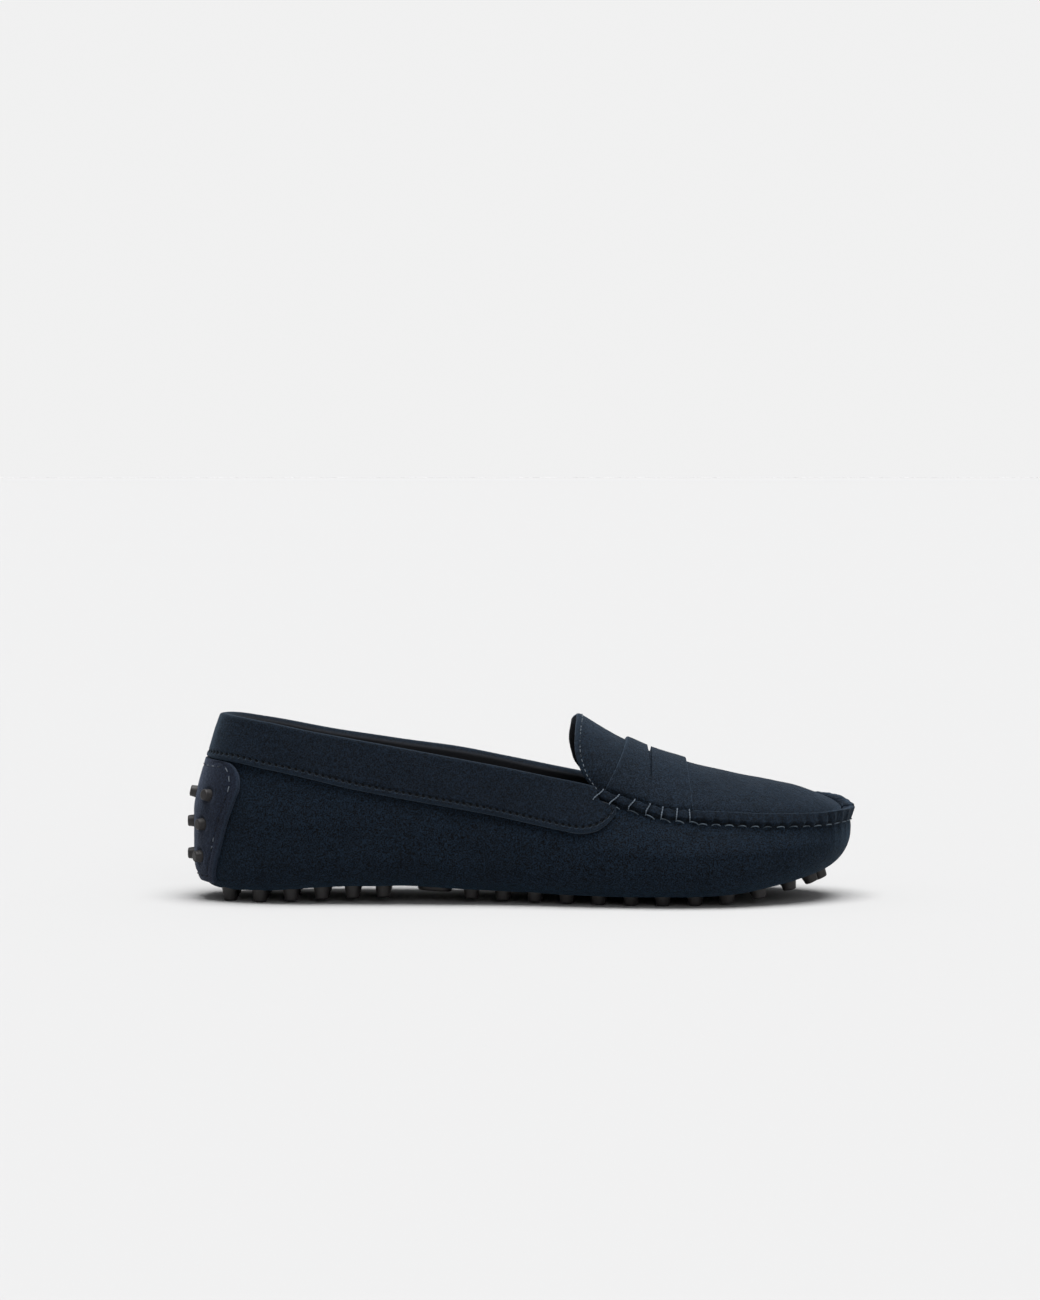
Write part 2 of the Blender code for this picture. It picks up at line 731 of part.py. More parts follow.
def back_pegs(start, end, radius):
    return [(surface(ring, level, start), surface(ring, level, end), radius, radius)
            for ring, level in back_stud_places()]


def make_heel_back_studs(parts, cutters, rubber):
    """Rubber strip inside the heel, with pebbles that come out through suede and tab."""
    widest = turn_of(BACK_ROWS[0].reach * HEEL_CENTRE / LENGTH)
    spread = widest * BACK_PAD_SIDE
    top = BACK_ROWS[0].height * HEEL_TOP + BACK_PAD_MARGIN
    low = BACK_ROWS[-1].height * HEEL_TOP - BACK_PAD_MARGIN
    grids = []
    for out in (-WALL - BACK_GAP, -WALL - BACK_GAP - SHEET_THICK):
        grids.append([[surface(ring, level_at(ring, height), out) for ring in steps(-spread, spread, 8)]
                      for height in steps(low, top, 4)])
    pad = place("heel_back_studs", sheet_solid(*grids), parts, rubber)
    pegs = back_pegs(-WALL - BACK_GAP - SHEET_THICK / 2, WRAP_GAP + TAB_THICK + BACK_STUD_PROUD,
                     BACK_STUD_RADIUS)
    studs = place("heel_back_pebbles", tapered_pegs(pegs, STUD_SIDES), cutters, None)
    boolean(pad, "UNION", studs)
    return pad


def make_arch_plate(parts, rubber):
    grids = []
    for below in (GAP, GAP + PLATE_THICK):
        rows = []
        for part in steps(0.0, 1.0, 8):
            x = LENGTH * (PLATE_REAR + (PLATE_FRONT - PLATE_REAR) * part)
            round_end = (1 - abs(2 * part - 1) ** 4) ** 0.5
            half = PLATE_HALF_WIDTH * (PLATE_END + (1 - PLATE_END) * round_end)
            rows.append([Vector((x, centre_line(x) + half * side, bottom_height(x) - below))
                         for side in (-1, 0, 1)])
        grids.append(rows)
    return place("arch_plate", sheet_solid(*grids), parts, rubber)


def build():
    for old in list(bpy.data.objects):
        bpy.data.objects.remove(old)
    parts = bpy.data.collections.new("driving_moccasin")
    cutters = bpy.data.collections.new("cutters")
    bpy.context.scene.collection.children.link(parts)
    bpy.context.scene.collection.children.link(cutters)

    suede = material("navy_suede", (0.0110, 0.0200, 0.0330), 0.95)
    dark_suede = material("collar_suede", (0.0100, 0.0170, 0.0270), 0.95)
    rubber = material("black_rubber", (0.0160, 0.0150, 0.0150), 0.55)
    lining = material("dark_lining", (0.0130, 0.0120, 0.0120), 0.80)

    upper = make_upper(parts, suede)
    make_apron(parts, suede)
    make_saddle_strap(parts, cutters, suede)
    make_seam_ridge(parts, suede)
    make_collar_band(parts, cutters, dark_suede)
    tab = make_heel_tab(parts, suede)
    make_insole(parts, lining)

    heel_places = stud_rows(HEEL_FIRST_ROW, HEEL_LAST_ROW, HEEL_ROWS)
    fore_places = stud_rows(FORE_FIRST_ROW, FORE_LAST_ROW, FORE_ROWS) + toe_studs()
    make_sole("heel_sole", heel_places, HEEL_STUD_PROUD, corner_in(0.0) + SHEET_SHORT,
              HEEL_LAST_ROW * LENGTH + SHEET_MARGIN, parts, cutters, rubber)
    make_sole("forefoot_sole", fore_places, FORE_STUD_PROUD, FORE_FIRST_ROW * LENGTH - SHEET_MARGIN,
              LENGTH - corner_in(LENGTH) - SHEET_SHORT, parts, cutters, rubber)
    make_heel_back_studs(parts, cutters, rubber)
    make_arch_plate(parts, rubber)

    through = STUD_ROOT + 1.15 * GAP
    holes = bottom_pegs(heel_places + fore_places, -2 * WALL, WALL, through, through)
    boolean(upper, "DIFFERENCE", place("pebble_holes", tapered_pegs(holes, STUD_SIDES), cutters, None))
    back_through = BACK_STUD_RADIUS + 1.15 * GAP
    back_holes = back_pegs(-2 * WALL, 2 * WALL, back_through)
    back_cutter = place("back_holes", tapered_pegs(back_holes, STUD_SIDES), cutters, None)
    boolean(upper, "DIFFERENCE", back_cutter)
    boolean(tab, "DIFFERENCE", back_cutter)

    shift_to_middle(parts, cutters)


def shift_to_middle(parts, cutters):
    """Puts the origin on the floor under the middle of the finished shoe's box."""
    bpy.context.view_layer.update()
    graph = bpy.context.evaluated_depsgraph_get()
    points = []
    for piece in parts.objects:
        evaluated = piece.evaluated_get(graph)
        points += [piece.matrix_world @ Vector(corner) for corner in evaluated.bound_box]
    middle = [(min(p[axis] for p in points) + max(p[axis] for p in points)) / 2 for axis in (0, 1)]
    move = Matrix.Translation((-middle[0], -middle[1], 0))
    for piece in list(parts.objects) + list(cutters.objects):
        piece.data.transform(move)


build()
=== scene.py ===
"""Navy suede driving moccasin for the right foot, dressed for the picture.

The suede pieces are read from the same sections of the last as the solids that they
replace, with gathers, dents and thread added. Sizes are in metres.
"""

import math
from collections import namedtuple

import bmesh
import bpy
import numpy as np
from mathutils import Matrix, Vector


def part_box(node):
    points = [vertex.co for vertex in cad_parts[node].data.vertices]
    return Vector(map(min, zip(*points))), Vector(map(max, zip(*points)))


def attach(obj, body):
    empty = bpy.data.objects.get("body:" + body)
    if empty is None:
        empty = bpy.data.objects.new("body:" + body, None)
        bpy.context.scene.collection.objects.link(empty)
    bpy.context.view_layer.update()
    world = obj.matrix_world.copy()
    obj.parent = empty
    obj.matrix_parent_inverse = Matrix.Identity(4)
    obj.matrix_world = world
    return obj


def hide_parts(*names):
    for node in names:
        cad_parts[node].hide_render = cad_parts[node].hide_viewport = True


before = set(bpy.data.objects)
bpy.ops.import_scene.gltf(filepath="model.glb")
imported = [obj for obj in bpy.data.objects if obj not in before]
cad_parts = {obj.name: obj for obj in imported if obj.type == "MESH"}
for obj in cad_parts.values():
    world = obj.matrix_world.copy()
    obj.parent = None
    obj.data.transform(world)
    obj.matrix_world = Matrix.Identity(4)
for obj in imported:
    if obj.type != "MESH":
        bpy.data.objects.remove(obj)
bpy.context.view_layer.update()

# Main sizes of the last, as in the solids
LENGTH = 0.2520
BALL_WIDTH = 0.0860
HEEL_TOP = 0.0704
TOE_TOP = 0.0344
TONGUE_TOP = 0.0710
ARCH_RISE = 0.0021
TOE_SPRING = 0.0103
INNER_RISE = 0.0042
CORNER = 0.0120
TOP_LEAN = 0.0100
LEAN_START = 0.35
HEEL_CENTRE = 0.0260
TOE_CENTRE = 0.0300
WALL = 0.0020
GAP = 0.0003
APRON_THICK = 0.0018
BAND_THICK = 0.0012
WRAP_GAP = 0.0004
TAB_THICK = 0.0013
STRAP_THICK = 0.0013
SHEET_THICK = 0.0012
INSOLE_THICK = 0.0020

# Moccasin seam, collar and strap
THROAT = 0.607
RIDGE_HIGH = 0.0042
RIDGE_PROUD = 0.0019
RIDGE_CROWN = 0.0010
FREE_FROM = 0.640
FREE_BLEND = 0.038
TOE_SINK = 0.0014
SIDE_SINK = 0.0004
APRON_TIP = 0.985
BAND_FRONT = 0.637
BAND_INSIDE = 0.0070
STRAP_REAR = 0.655
STRAP_REAR_SWEEP = 0.038
STRAP_FRONT = 0.746
STRAP_FRONT_SWEEP = 0.009
TONGUE_SHOWS = 0.008
SLOT_SHARE = 0.691
SLOT_LONG = 0.0500
SLOT_WIDE = 0.0016

# Pebbles
HEEL_STUD_PROUD = 0.0045
FORE_STUD_PROUD = 0.0033
STUD_ROOT = 0.0030
STUD_TIP = 0.0026
STUD_ACROSS = 0.0150
HEEL_FIRST_ROW = 0.0516
HEEL_LAST_ROW = 0.2857
HEEL_ROWS = 6
FORE_FIRST_ROW = 0.4195
FORE_LAST_ROW = 0.9000
FORE_ROWS = 11
TOE_ROW_TILT = 0.22
STUD_INSET = 0.0010
SHEET_SHORT = 0.0006
SHEET_MARGIN = 0.0060
BACK_STUD_RADIUS = 0.0023
BACK_STUD_PROUD = 0.0024

# Level at which the rounded lower corner ends
ROUND = 0.35


def table(columns, *rows):
    """Rows of a table with named columns."""
    kind = namedtuple("Row", columns)
    return tuple(kind(*row) for row in rows)


SECTIONS = table(
    "share width centre corner lean belly top inner seat arch spring",
    (0.00, 0.000, -0.010, 0.62, 1.00, 0.44, 1.000, 0.00, 1.00, 0.00, 0.00),
    (0.02, 0.355, -0.010, 0.64, 0.98, 0.44, 0.997, 0.00, 1.00, 0.00, 0.00),
    (0.05, 0.518, -0.012, 0.68, 0.95, 0.43, 0.983, -0.05, 1.00, 0.00, 0.00),
    (0.10, 0.628, -0.023, 0.75, 0.88, 0.42, 0.936, -0.15, 1.00, 0.00, 0.00),
    (0.18, 0.698, -0.023, 0.85, 0.80, 0.40, 0.828, -0.20, 1.00, 0.60, 0.00),
    (0.30, 0.692, -0.040, 0.95, 0.75, 0.38, 0.675, 0.00, 1.00, 1.00, 0.00),
    (0.42, 0.698, -0.070, 1.00, 0.75, 0.38, 0.522, 0.28, 0.65, 0.48, 0.00),
    (0.52, 0.772, -0.070, 1.00, 0.80, 0.40, 0.389, 0.14, 0.25, 0.17, 0.00),
    (0.60, 0.880, -0.060, 1.00, 0.90, 0.44, 0.278, 0.03, 0.08, 0.05, 0.00),
    (0.66, 0.955, -0.050, 1.00, 0.98, 0.46, 0.150, 0.00, 0.00, 0.00, 0.00),
    (0.72, 1.000, -0.035, 1.00, 1.00, 0.48, 0.047, 0.12, 0.00, 0.00, 0.00),
    (0.80, 0.965, -0.023, 1.00, 0.95, 0.50, 0.014, 0.42, 0.00, 0.00, 0.06),
    (0.88, 0.826, 0.000, 1.00, 0.75, 0.52, -0.017, 0.80, 0.00, 0.00, 0.34),
    (0.94, 0.628, 0.023, 0.95, 0.45, 0.56, -0.022, 1.00, 0.00, 0.00, 0.655),
    (0.98, 0.384, 0.045, 0.95, 0.20, 0.60, -0.005, 0.72, 0.00, 0.00, 0.88),
    (1.00, 0.000, 0.070, 0.95, 0.10, 0.60, 0.000, 0.00, 0.00, 0.00, 1.00),
)

APRON_LINE = table(
    "share height",
    (0.570, 1.055), (0.587, 0.992), (0.615, 0.874), (0.649, 0.746), (0.698, 0.593), (0.746, 0.495),
    (0.795, 0.415), (0.868, 0.306), (0.917, 0.246), (0.955, 0.164), (0.977, 0.098), (1.000, 0.016),
)

TONGUE_EDGE = table(
    "across share",
    (-1.00, 0.615), (-0.94, 0.602), (-0.80, 0.583), (-0.60, 0.575), (-0.35, 0.577), (-0.12, 0.580),
    (0.12, 0.579), (0.35, 0.571), (0.60, 0.566), (0.80, 0.573), (0.94, 0.595), (1.00, 0.611),
)

BAND_HEM = table(
    "share height",
    (0.000, 0.774), (0.050, 0.763), (0.100, 0.736), (0.157, 0.696), (0.240, 0.626), (0.460, 0.483),
    (0.553, 0.415), (0.584, 0.398), (0.604, 0.409), (0.623, 0.447), (0.637, 0.503),
)

TAB_ROWS = table(
    "height reach",
    (0.770, 0.30), (0.754, 0.44), (0.726, 0.55), (0.680, 0.63), (0.630, 0.65), (0.559, 0.60),
    (0.483, 0.535), (0.406, 0.47), (0.274, 0.38), (0.173, 0.30), (0.140, 0.27), (0.107, 0.24),
)
TAB_SHOULDER = 0.0006

BACK_ROWS = table(
    "height reach",
    (0.575, 0.21), (0.420, 0.15), (0.242, 0.11),
)

TOE_ROWS = table(
    "share spread",
    (0.933, 0.333), (0.949, 0.127),
)


def curve(rows, key, column, place=None):
    """Smooth curve through two columns of a table that never overshoots its rows."""
    xs = np.array([getattr(row, key) for row in rows], float)
    if place:
        xs = place(xs)
    ys = np.array([getattr(row, column) for row in rows], float)
    secants = np.diff(ys) / np.diff(xs)
    slopes = np.empty_like(ys)
    slopes[0], slopes[-1] = secants[0], secants[-1]
    both = secants[:-1] * secants[1:]
    total = secants[:-1] + secants[1:]
    slopes[1:-1] = np.where(both > 0, 2 * both / np.where(both > 0, total, 1.0), 0.0)

    def value(x):
        x = np.clip(x, xs[0], xs[-1])
        i = np.clip(np.searchsorted(xs, x, side="right") - 1, 0, len(xs) - 2)
        width = xs[i + 1] - xs[i]
        t = (x - xs[i]) / width
        return ((1 + 2 * t) * (1 - t) ** 2 * ys[i] + t * (1 - t) ** 2 * width * slopes[i]
                + t * t * (3 - 2 * t) * ys[i + 1] + t * t * (t - 1) * width * slopes[i + 1])

    return value


def turn_of(share):
    """Place round one side of the ring, 0 at the heel's back and 1 at the toe tip."""
    return np.arccos(1 - 2 * np.clip(share, 0.0, 1.0)) / np.pi


def share_of(turn):
    return (1 - np.cos(np.pi * turn)) / 2


COLUMNS = {name: curve(SECTIONS, "share", name) for name in SECTIONS[0]._fields[2:]}
WIDTH = curve(SECTIONS, "share", "width", turn_of)
APRON_HEIGHT = curve(APRON_LINE, "share", "height")
TONGUE_BACK = curve(TONGUE_EDGE, "across", "share")
BAND_LOW = curve(BAND_HEM, "share", "height")


def half_width(x):
    return WIDTH(turn_of(x / LENGTH)) * BALL_WIDTH / 2


def centre_line(x):
    return COLUMNS["centre"](x / LENGTH) * BALL_WIDTH / 2


def corner_in(x):
    return COLUMNS["corner"](x / LENGTH) * CORNER


def bottom_height(x):
    """Underside of the suede above the floor."""
    share = x / LENGTH
    proud = FORE_STUD_PROUD + COLUMNS["seat"](share) * (HEEL_STUD_PROUD - FORE_STUD_PROUD)
    return proud + COLUMNS["arch"](share) * ARCH_RISE + COLUMNS["spring"](share) * TOE_SPRING


def top_height(x, medial):
    """Upper edge of the bowl above the floor, on the lateral or the medial side."""
    share = x / LENGTH
    inner = np.where(medial, COLUMNS["inner"](share) * INNER_RISE, 0.0)
    return TOE_TOP + COLUMNS["top"](share) * (HEEL_TOP - TOE_TOP) + inner


def flat_half(x):
    """Half width of the flat bottom, which is round at heel and toe."""
    half = half_width(x) - corner_in(x)
    for centre, end in ((HEEL_CENTRE, 0.0), (LENGTH - TOE_CENTRE, LENGTH)):
        radius = abs(end - centre) - corner_in(end)
        within = np.sqrt(np.maximum(radius ** 2 - (x - centre) ** 2, 0.0))
        half = np.where((x - centre) / (end - centre) > 0, np.minimum(half, within), half)
    return half


def level_point(ring, level):
    """Point of the bowl's outside, on arrays. Level 0 is the flat bottom's rim, 1 the top edge."""
    ring, level = np.broadcast_arrays(np.mod(ring, 2.0), level)
    side = np.where(ring <= 1, -1.0, 1.0)
    x = LENGTH * share_of(np.where(ring <= 1, ring, 2 - ring))
    y = centre_line(x) + side * half_width(x)
    inner_x = np.clip(x, HEEL_CENTRE, LENGTH - TOE_CENTRE)
    inward = np.stack((inner_x - x, centre_line(inner_x) - y), axis=-1)
    inward /= np.linalg.norm(inward, axis=-1, keepdims=True)
    medial = ring > 1
    corner_share = CORNER / (top_height(x, medial) - bottom_height(x))
    angle = np.minimum(level / ROUND, 1.0) * np.pi / 2
    wall_share = corner_share + (level - ROUND) / (1 - ROUND) * (1 - corner_share)
    belly = COLUMNS["belly"](x / LENGTH)
    above = np.maximum((wall_share - belly) / (1 - belly), 0.0)
    lean = COLUMNS["lean"](x / LENGTH) * TOP_LEAN * above ** 2 * (1 + LEAN_START) / (above + LEAN_START)
    low = level < ROUND
    height_share = np.where(low, corner_share * (1 - np.cos(angle)), wall_share)
    inset = np.where(low, corner_in(x) * (1 - np.sin(angle)), lean)
    placed_x = x + inward[..., 0] * inset
    placed_y = y + inward[..., 1] * inset
    floor = bottom_height(placed_x)
    z = floor + height_share * (top_height(placed_x, medial) - floor)
    return np.stack((placed_x, placed_y, z), axis=-1)


def unit(vectors):
    return vectors / np.maximum(np.linalg.norm(vectors, axis=-1, keepdims=True), 1e-12)


def directions(ring, level):
    """Unit vectors out of the side and up along it."""
    step = 0.003
    around = level_point(ring + step, level) - level_point(ring - step, level)
    upward = (level_point(ring, np.minimum(level + step, 1.0))
              - level_point(ring, np.maximum(level - step, 0.0)))
    return unit(np.cross(around, upward)), unit(upward)


def surface(ring, level, out=0.0, lift=0.0):
    """Point of the bowl's outside, moved out of the side and up along it."""
    ring, level, out, lift = np.broadcast_arrays(ring, level, out, lift)
    outward, upward = directions(ring, level)
    return level_point(ring, level) + outward * out[..., None] + upward * lift[..., None]


def level_at(ring, height):
    """Level whose point lies at a height above the floor, found by halving."""
    ring, height = np.broadcast_arrays(ring, height)
    low, high = np.zeros(ring.shape), np.ones(ring.shape)
    for _ in range(24):
        middle = (low + high) / 2
        below = level_point(ring, middle)[..., 2] < height
        low, high = np.where(below, middle, low), np.where(below, high, middle)
    return (low + high) / 2


def apron_edge(ring, share):
    """Point where the apron meets the inside of the bowl's edge."""
    forward = np.clip((share - THROAT) / (1 - THROAT), 0.0, 1.0)
    free = smooth(FREE_FROM - share, 0.0, FREE_BLEND)
    inward = WALL + GAP + free * (BAND_THICK + 4 * GAP)
    return surface(ring, np.ones_like(share), -inward, -(SIDE_SINK + (TOE_SINK - SIDE_SINK) * forward))


def apron_line_point(share, across):
    """Point of the apron's upper side on the arc from edge to edge, across from -1 to 1."""
    share, across = np.broadcast_arrays(share, across)
    turn = turn_of(share)
    left, right = apron_edge(turn, share), apron_edge(2 - turn, share)
    middle, half = (left + right) / 2, (right - left) / 2
    span = np.linalg.norm(half, axis=-1)
    top = TOE_TOP + APRON_HEIGHT(share) * (TONGUE_TOP - TOE_TOP)
    crown = np.maximum(top - middle[..., 2], 0.0004)
    radius = (span ** 2 + crown ** 2) / (2 * crown)
    reach = 2 * np.arctan(crown / span)
    angle = reach * across
    point = middle + half * (radius * np.sin(angle) / span)[..., None]
    point[..., 2] += radius * (np.cos(angle) - np.cos(reach))
    return point


def apron_normal(share, across):
    step, wide = 0.002, 0.01
    along = (apron_line_point(np.minimum(share + step, 0.9995), across)
             - apron_line_point(share - step, across))
    sideways = (apron_line_point(share, np.minimum(across + wide, 1.0))
                - apron_line_point(share, np.maximum(across - wide, -1.0)))
    return unit(np.cross(along, sideways))


def apron_point(share, across, out=0.0):
    share, across, out = np.broadcast_arrays(share, across, out)
    return apron_line_point(share, across) + apron_normal(share, across) * out[..., None]


def strap_edges(across):
    """Rear and front edge of the saddle strap as shares of the length."""
    behind = TONGUE_BACK(across) + TONGUE_SHOWS
    return (np.maximum(STRAP_REAR - STRAP_REAR_SWEEP * across ** 2, behind),
            STRAP_FRONT + STRAP_FRONT_SWEEP * across ** 2)


# The solids' own frame has its origin under the middle of the shoe's box
UPPER_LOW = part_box("upper")[0]
_rim = level_point(np.linspace(0, 2, 801)[:-1, None], np.linspace(0, 1, 41)[None, :])
OFFSET = np.array((UPPER_LOW[0] - _rim[..., 0].min(), UPPER_LOW[1] - _rim[..., 1].min(), 0.0))


def shown(points):
    """Places in the shoe's frame from places along the last."""
    return np.asarray(points) + OFFSET


# Mesh making

def grid_faces(rows, columns, closed=False, start=0):
    """Quads of a grid of points, its last column joined to the first where it is closed."""
    i = np.arange(rows - 1)[:, None]
    j = np.arange(columns if closed else columns - 1)[None, :]
    a = i * columns + j
    b = i * columns + (j + 1) % columns
    return np.stack((a, b, b + columns, a + columns), axis=-1).reshape(-1, 4) + start


def join_grids(grids):
    """Points and faces of several grids, each given as points and closed or not."""
    points, faces, start = [], [], 0
    for grid, closed in grids:
        rows, columns = grid.shape[:2]
        points.append(grid.reshape(-1, 3))
        faces.append(grid_faces(rows, columns, closed, start))
        start += rows * columns
    return np.concatenate(points), np.concatenate(faces)


WELD = 0.000002             # points nearer to each other than this become one
HIDDEN_OFF = 0.0001         # how far a dressed sheet's hidden skin stays off what it lies on


def add_object(name, data):
    made = bpy.data.objects.new(name, data)
    bpy.context.scene.collection.objects.link(made)
    return made


def make_object(name, points, faces, finish, weld=WELD, sharp=50.0, marks=None):
    """Smooth-shaded object from points along the last and faces, its doubles welded.

    Marks are named triples of values at each point that the materials read.
    """
    mesh = bpy.data.meshes.new(name)
    mesh.from_pydata(shown(points).tolist(), [], faces.tolist())
    for label, values in (marks or {}).items():
        layer = mesh.attributes.new(label, "FLOAT_VECTOR", "POINT")
        layer.data.foreach_set("vector", np.asarray(values, np.float32).ravel())
    shape = bmesh.new()
    shape.from_mesh(mesh)
    bmesh.ops.remove_doubles(shape, verts=shape.verts, dist=weld)
    bmesh.ops.recalc_face_normals(shape, faces=shape.faces)
    shape.to_mesh(mesh)
    shape.free()
    mesh.shade_smooth()
    mesh.set_sharp_from_angle(angle=math.radians(sharp))
    mesh.materials.append(finish)
    return add_object(name, mesh)


def settle(piece, slot, *nodes):
    """Every piece rides on the one body and may stand for nodes. Its slot is not used."""
    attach(piece, "root")
    if nodes:
        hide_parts(*nodes)
    return piece


def sheet_grids(outer, inner):
    """Grids of a closed sheet: two skins with the same rows and columns, and its four borders."""
    borders = [np.stack((outer[:, j], inner[:, j])) for j in (0, -1)]
    borders += [np.stack((outer[i], inner[i])) for i in (0, -1)]
    return [(outer, False), (inner, False)] + [(border, False) for border in borders]


def make_sheet(name, outer, inner, finish, marks=None, places=None, sharp=50.0):
    """Closed sheet between two skins. Marks and stitch places are a triple of values for each skin."""
    layers = {}
    for label, skins in (("marks", marks), ("stitch_place", places)):
        if skins:
            values = [np.stack([np.broadcast_to(value, outer.shape[:2]) for value in skin], axis=-1)
                      for skin in skins]
            layers[label] = np.concatenate([grid.reshape(-1, 3) for grid, _ in sheet_grids(*values)])
    points, faces = join_grids(sheet_grids(outer, inner))
    return make_object(name, points, faces, finish, sharp=sharp, marks=layers)


def smooth(value, low, high):
    """Soft step from 0 at low to 1 at high."""
    t = np.clip((value - low) / (high - low), 0.0, 1.0)
    return t * t * (3 - 2 * t)


def arch(t):
    """Rises from 0, stays near 1 and falls back to 0, for t from 0 to 1."""
    return np.sqrt(np.maximum(np.sin(np.pi * t), 0.0))


def bell(value, middle, width):
    return np.exp(-((value - middle) / width) ** 2)


def full_turn(count):
    """Evenly spaced angles of a whole turn."""
    return np.linspace(0, 2 * np.pi, count, endpoint=False)


def ripple(along, waves):
    """Sum of small waves, each with its height, its turn per metre and its start."""
    return sum(high * np.sin(along * turn + start) for high, turn, start in waves)


def arc_lengths(path):
    """Distance along a path of points from its first."""
    steps = np.linalg.norm(np.diff(path, axis=0), axis=-1)
    return np.concatenate(([0.0], np.cumsum(steps)))


# Moccasin seam: places along the ridge, measured from the toe

SEAM_RINGS = np.linspace(turn_of(THROAT), 2 - turn_of(THROAT), 1601)
_edge_line = level_point(SEAM_RINGS, np.ones_like(SEAM_RINGS))
_lengths = arc_lengths(_edge_line)
SEAM_ALONG = _lengths - np.interp(1.0, SEAM_RINGS, _lengths)
STITCH_PITCH = 0.0050

# Whip stitches at the rear of the seam: shares of the length where each leaves the side
# and where it goes over the top, and how much higher than the ridge's foot it leaves the side
WHIPS = table(
    "low top foot",
    (0.602, 0.618, -0.020), (0.626, 0.6415, -0.016), (0.655, 0.665, 0.014), (0.681, 0.6875, 0.024),
    (0.704, 0.7065, 0.026), (0.7265, 0.728, 0.026), (0.747, 0.746, 0.028),
)


def seam_along(ring):
    """Distance of a ring place from the toe along the moccasin seam, in metres."""
    return np.interp(ring, SEAM_RINGS, SEAM_ALONG)


def seam_ring(along):
    return np.interp(along, SEAM_ALONG, SEAM_RINGS)


def stitch_places():
    """Places of all stitches along the seam: whip stitches at both rear ends, even ones between."""
    middles = np.array([(whip.low + whip.top) / 2 for whip in WHIPS])
    lateral = seam_along(turn_of(middles))
    medial = seam_along(2 - turn_of(middles))[::-1]
    count = round((medial[0] - lateral[-1]) / STITCH_PITCH)
    even = np.linspace(lateral[-1], medial[0], count + 1)[1:-1]
    return np.concatenate((lateral, even, medial))


STITCHES = stitch_places()


def gather(ring):
    """0 at each stitch of the moccasin seam and 1 halfway between two."""
    number = np.interp(seam_along(ring), STITCHES, np.arange(len(STITCHES)))
    return 0.5 - 0.5 * np.cos(2 * np.pi * number)


def whip_share(ring):
    """1 where whip stitches bind the seam and 0 along its plain part."""
    along = np.abs(seam_along(ring))
    return smooth(along, abs(STITCHES[len(WHIPS)]), abs(STITCHES[len(WHIPS) - 1]))


# Soft troughs and ridges of the side leather, listed one by one: ring place, share of the
# side's height, lean of the line, half length and half width in metres, and depth
FOLDS = table(
    "ring height lean long wide deep",
    (0.30, 0.42, 0.25, 0.016, 0.0050, -0.00045),
    (0.36, 0.30, -0.20, 0.020, 0.0065, 0.00035),
    (0.44, 0.55, 0.35, 0.018, 0.0050, -0.00040),
    (0.50, 0.34, 0.10, 0.022, 0.0070, -0.00050),
    (0.56, 0.48, -0.45, 0.016, 0.0045, 0.00035),
    (0.62, 0.40, 0.30, 0.018, 0.0055, -0.00045),
    (0.70, 0.52, -0.15, 0.020, 0.0060, 0.00030),
    (0.77, 0.36, 0.20, 0.014, 0.0050, -0.00035),
    (0.86, 0.50, -0.10, 0.012, 0.0045, -0.00030),
    (0.18, 0.46, 0.15, 0.014, 0.0055, -0.00035),
    (1.14, 0.48, 0.10, 0.012, 0.0045, -0.00030),
    (1.24, 0.38, -0.20, 0.015, 0.0050, -0.00035),
    (1.31, 0.50, 0.15, 0.020, 0.0060, 0.00030),
    (1.39, 0.42, -0.30, 0.018, 0.0055, -0.00045),
    (1.46, 0.50, 0.40, 0.016, 0.0045, 0.00035),
    (1.52, 0.36, -0.10, 0.022, 0.0070, -0.00050),
    (1.59, 0.52, -0.30, 0.018, 0.0050, -0.00040),
    (1.68, 0.40, 0.20, 0.016, 0.0055, 0.00035),
    (1.80, 0.46, -0.15, 0.014, 0.0055, -0.00035),
)
RING_SPAN = 0.30            # about half the way round the shoe, for a ring place's distances
SIDE_HIGH = 0.045
WAVE_DEEP = 0.00007
DRAW_DEEP = 0.00042         # how far the seam's stitches draw the side in
DRAW_REACH = 0.0045
DRAW_START = 0.0040


def side_relief(ring, level):
    """How far the side leather swells out or is drawn in, in metres."""
    ring = np.mod(ring, 2.0)
    relief = np.zeros(np.broadcast(ring, level).shape)
    for fold in FOLDS:
        along = (ring - fold.ring) * RING_SPAN
        up = (level - fold.height) * SIDE_HIGH
        across = along + fold.lean * up
        relief += fold.deep * np.exp(-(across / fold.wide) ** 2 - (up / fold.long) ** 2)
    wave = (np.sin(37 * ring + 5 * level) + np.sin(61 * ring - 9 * level + 1.3)
            + np.sin(23 * ring + 14 * level + 2.1))
    relief += WAVE_DEEP * wave * smooth(level, 0.05, 0.3) * (1 - smooth(level, 0.85, 1.0))
    seam = smooth(ring, SEAM_RINGS[0], SEAM_RINGS[0] + 0.01)
    seam *= 1 - smooth(ring, SEAM_RINGS[-1] - 0.01, SEAM_RINGS[-1])
    edge = level_point(ring, np.ones_like(relief))
    below = edge[..., 2] - level_point(ring, level)[..., 2] - RIDGE_HIGH
    draw = np.exp(-np.maximum(below, 0.0) / DRAW_REACH) * smooth(below, -DRAW_START, 0.0)
    return relief + seam * draw * DRAW_DEEP * (gather(ring) - 0.35)


# Pebble places, as in the solids

def stud_rows(first, last, count):
    places = []
    for row, share in enumerate(np.linspace(first, last, count)):
        x = LENGTH * share
        half = float(flat_half(x)) - STUD_INSET
        odd = row % 2
        across = max(2 * round(half / STUD_ACROSS - odd / 2) + odd, 1)
        places += [(x, float(centre_line(x)) + spot * half) for spot in np.linspace(-1.0, 1.0, across + 1)]
    return places


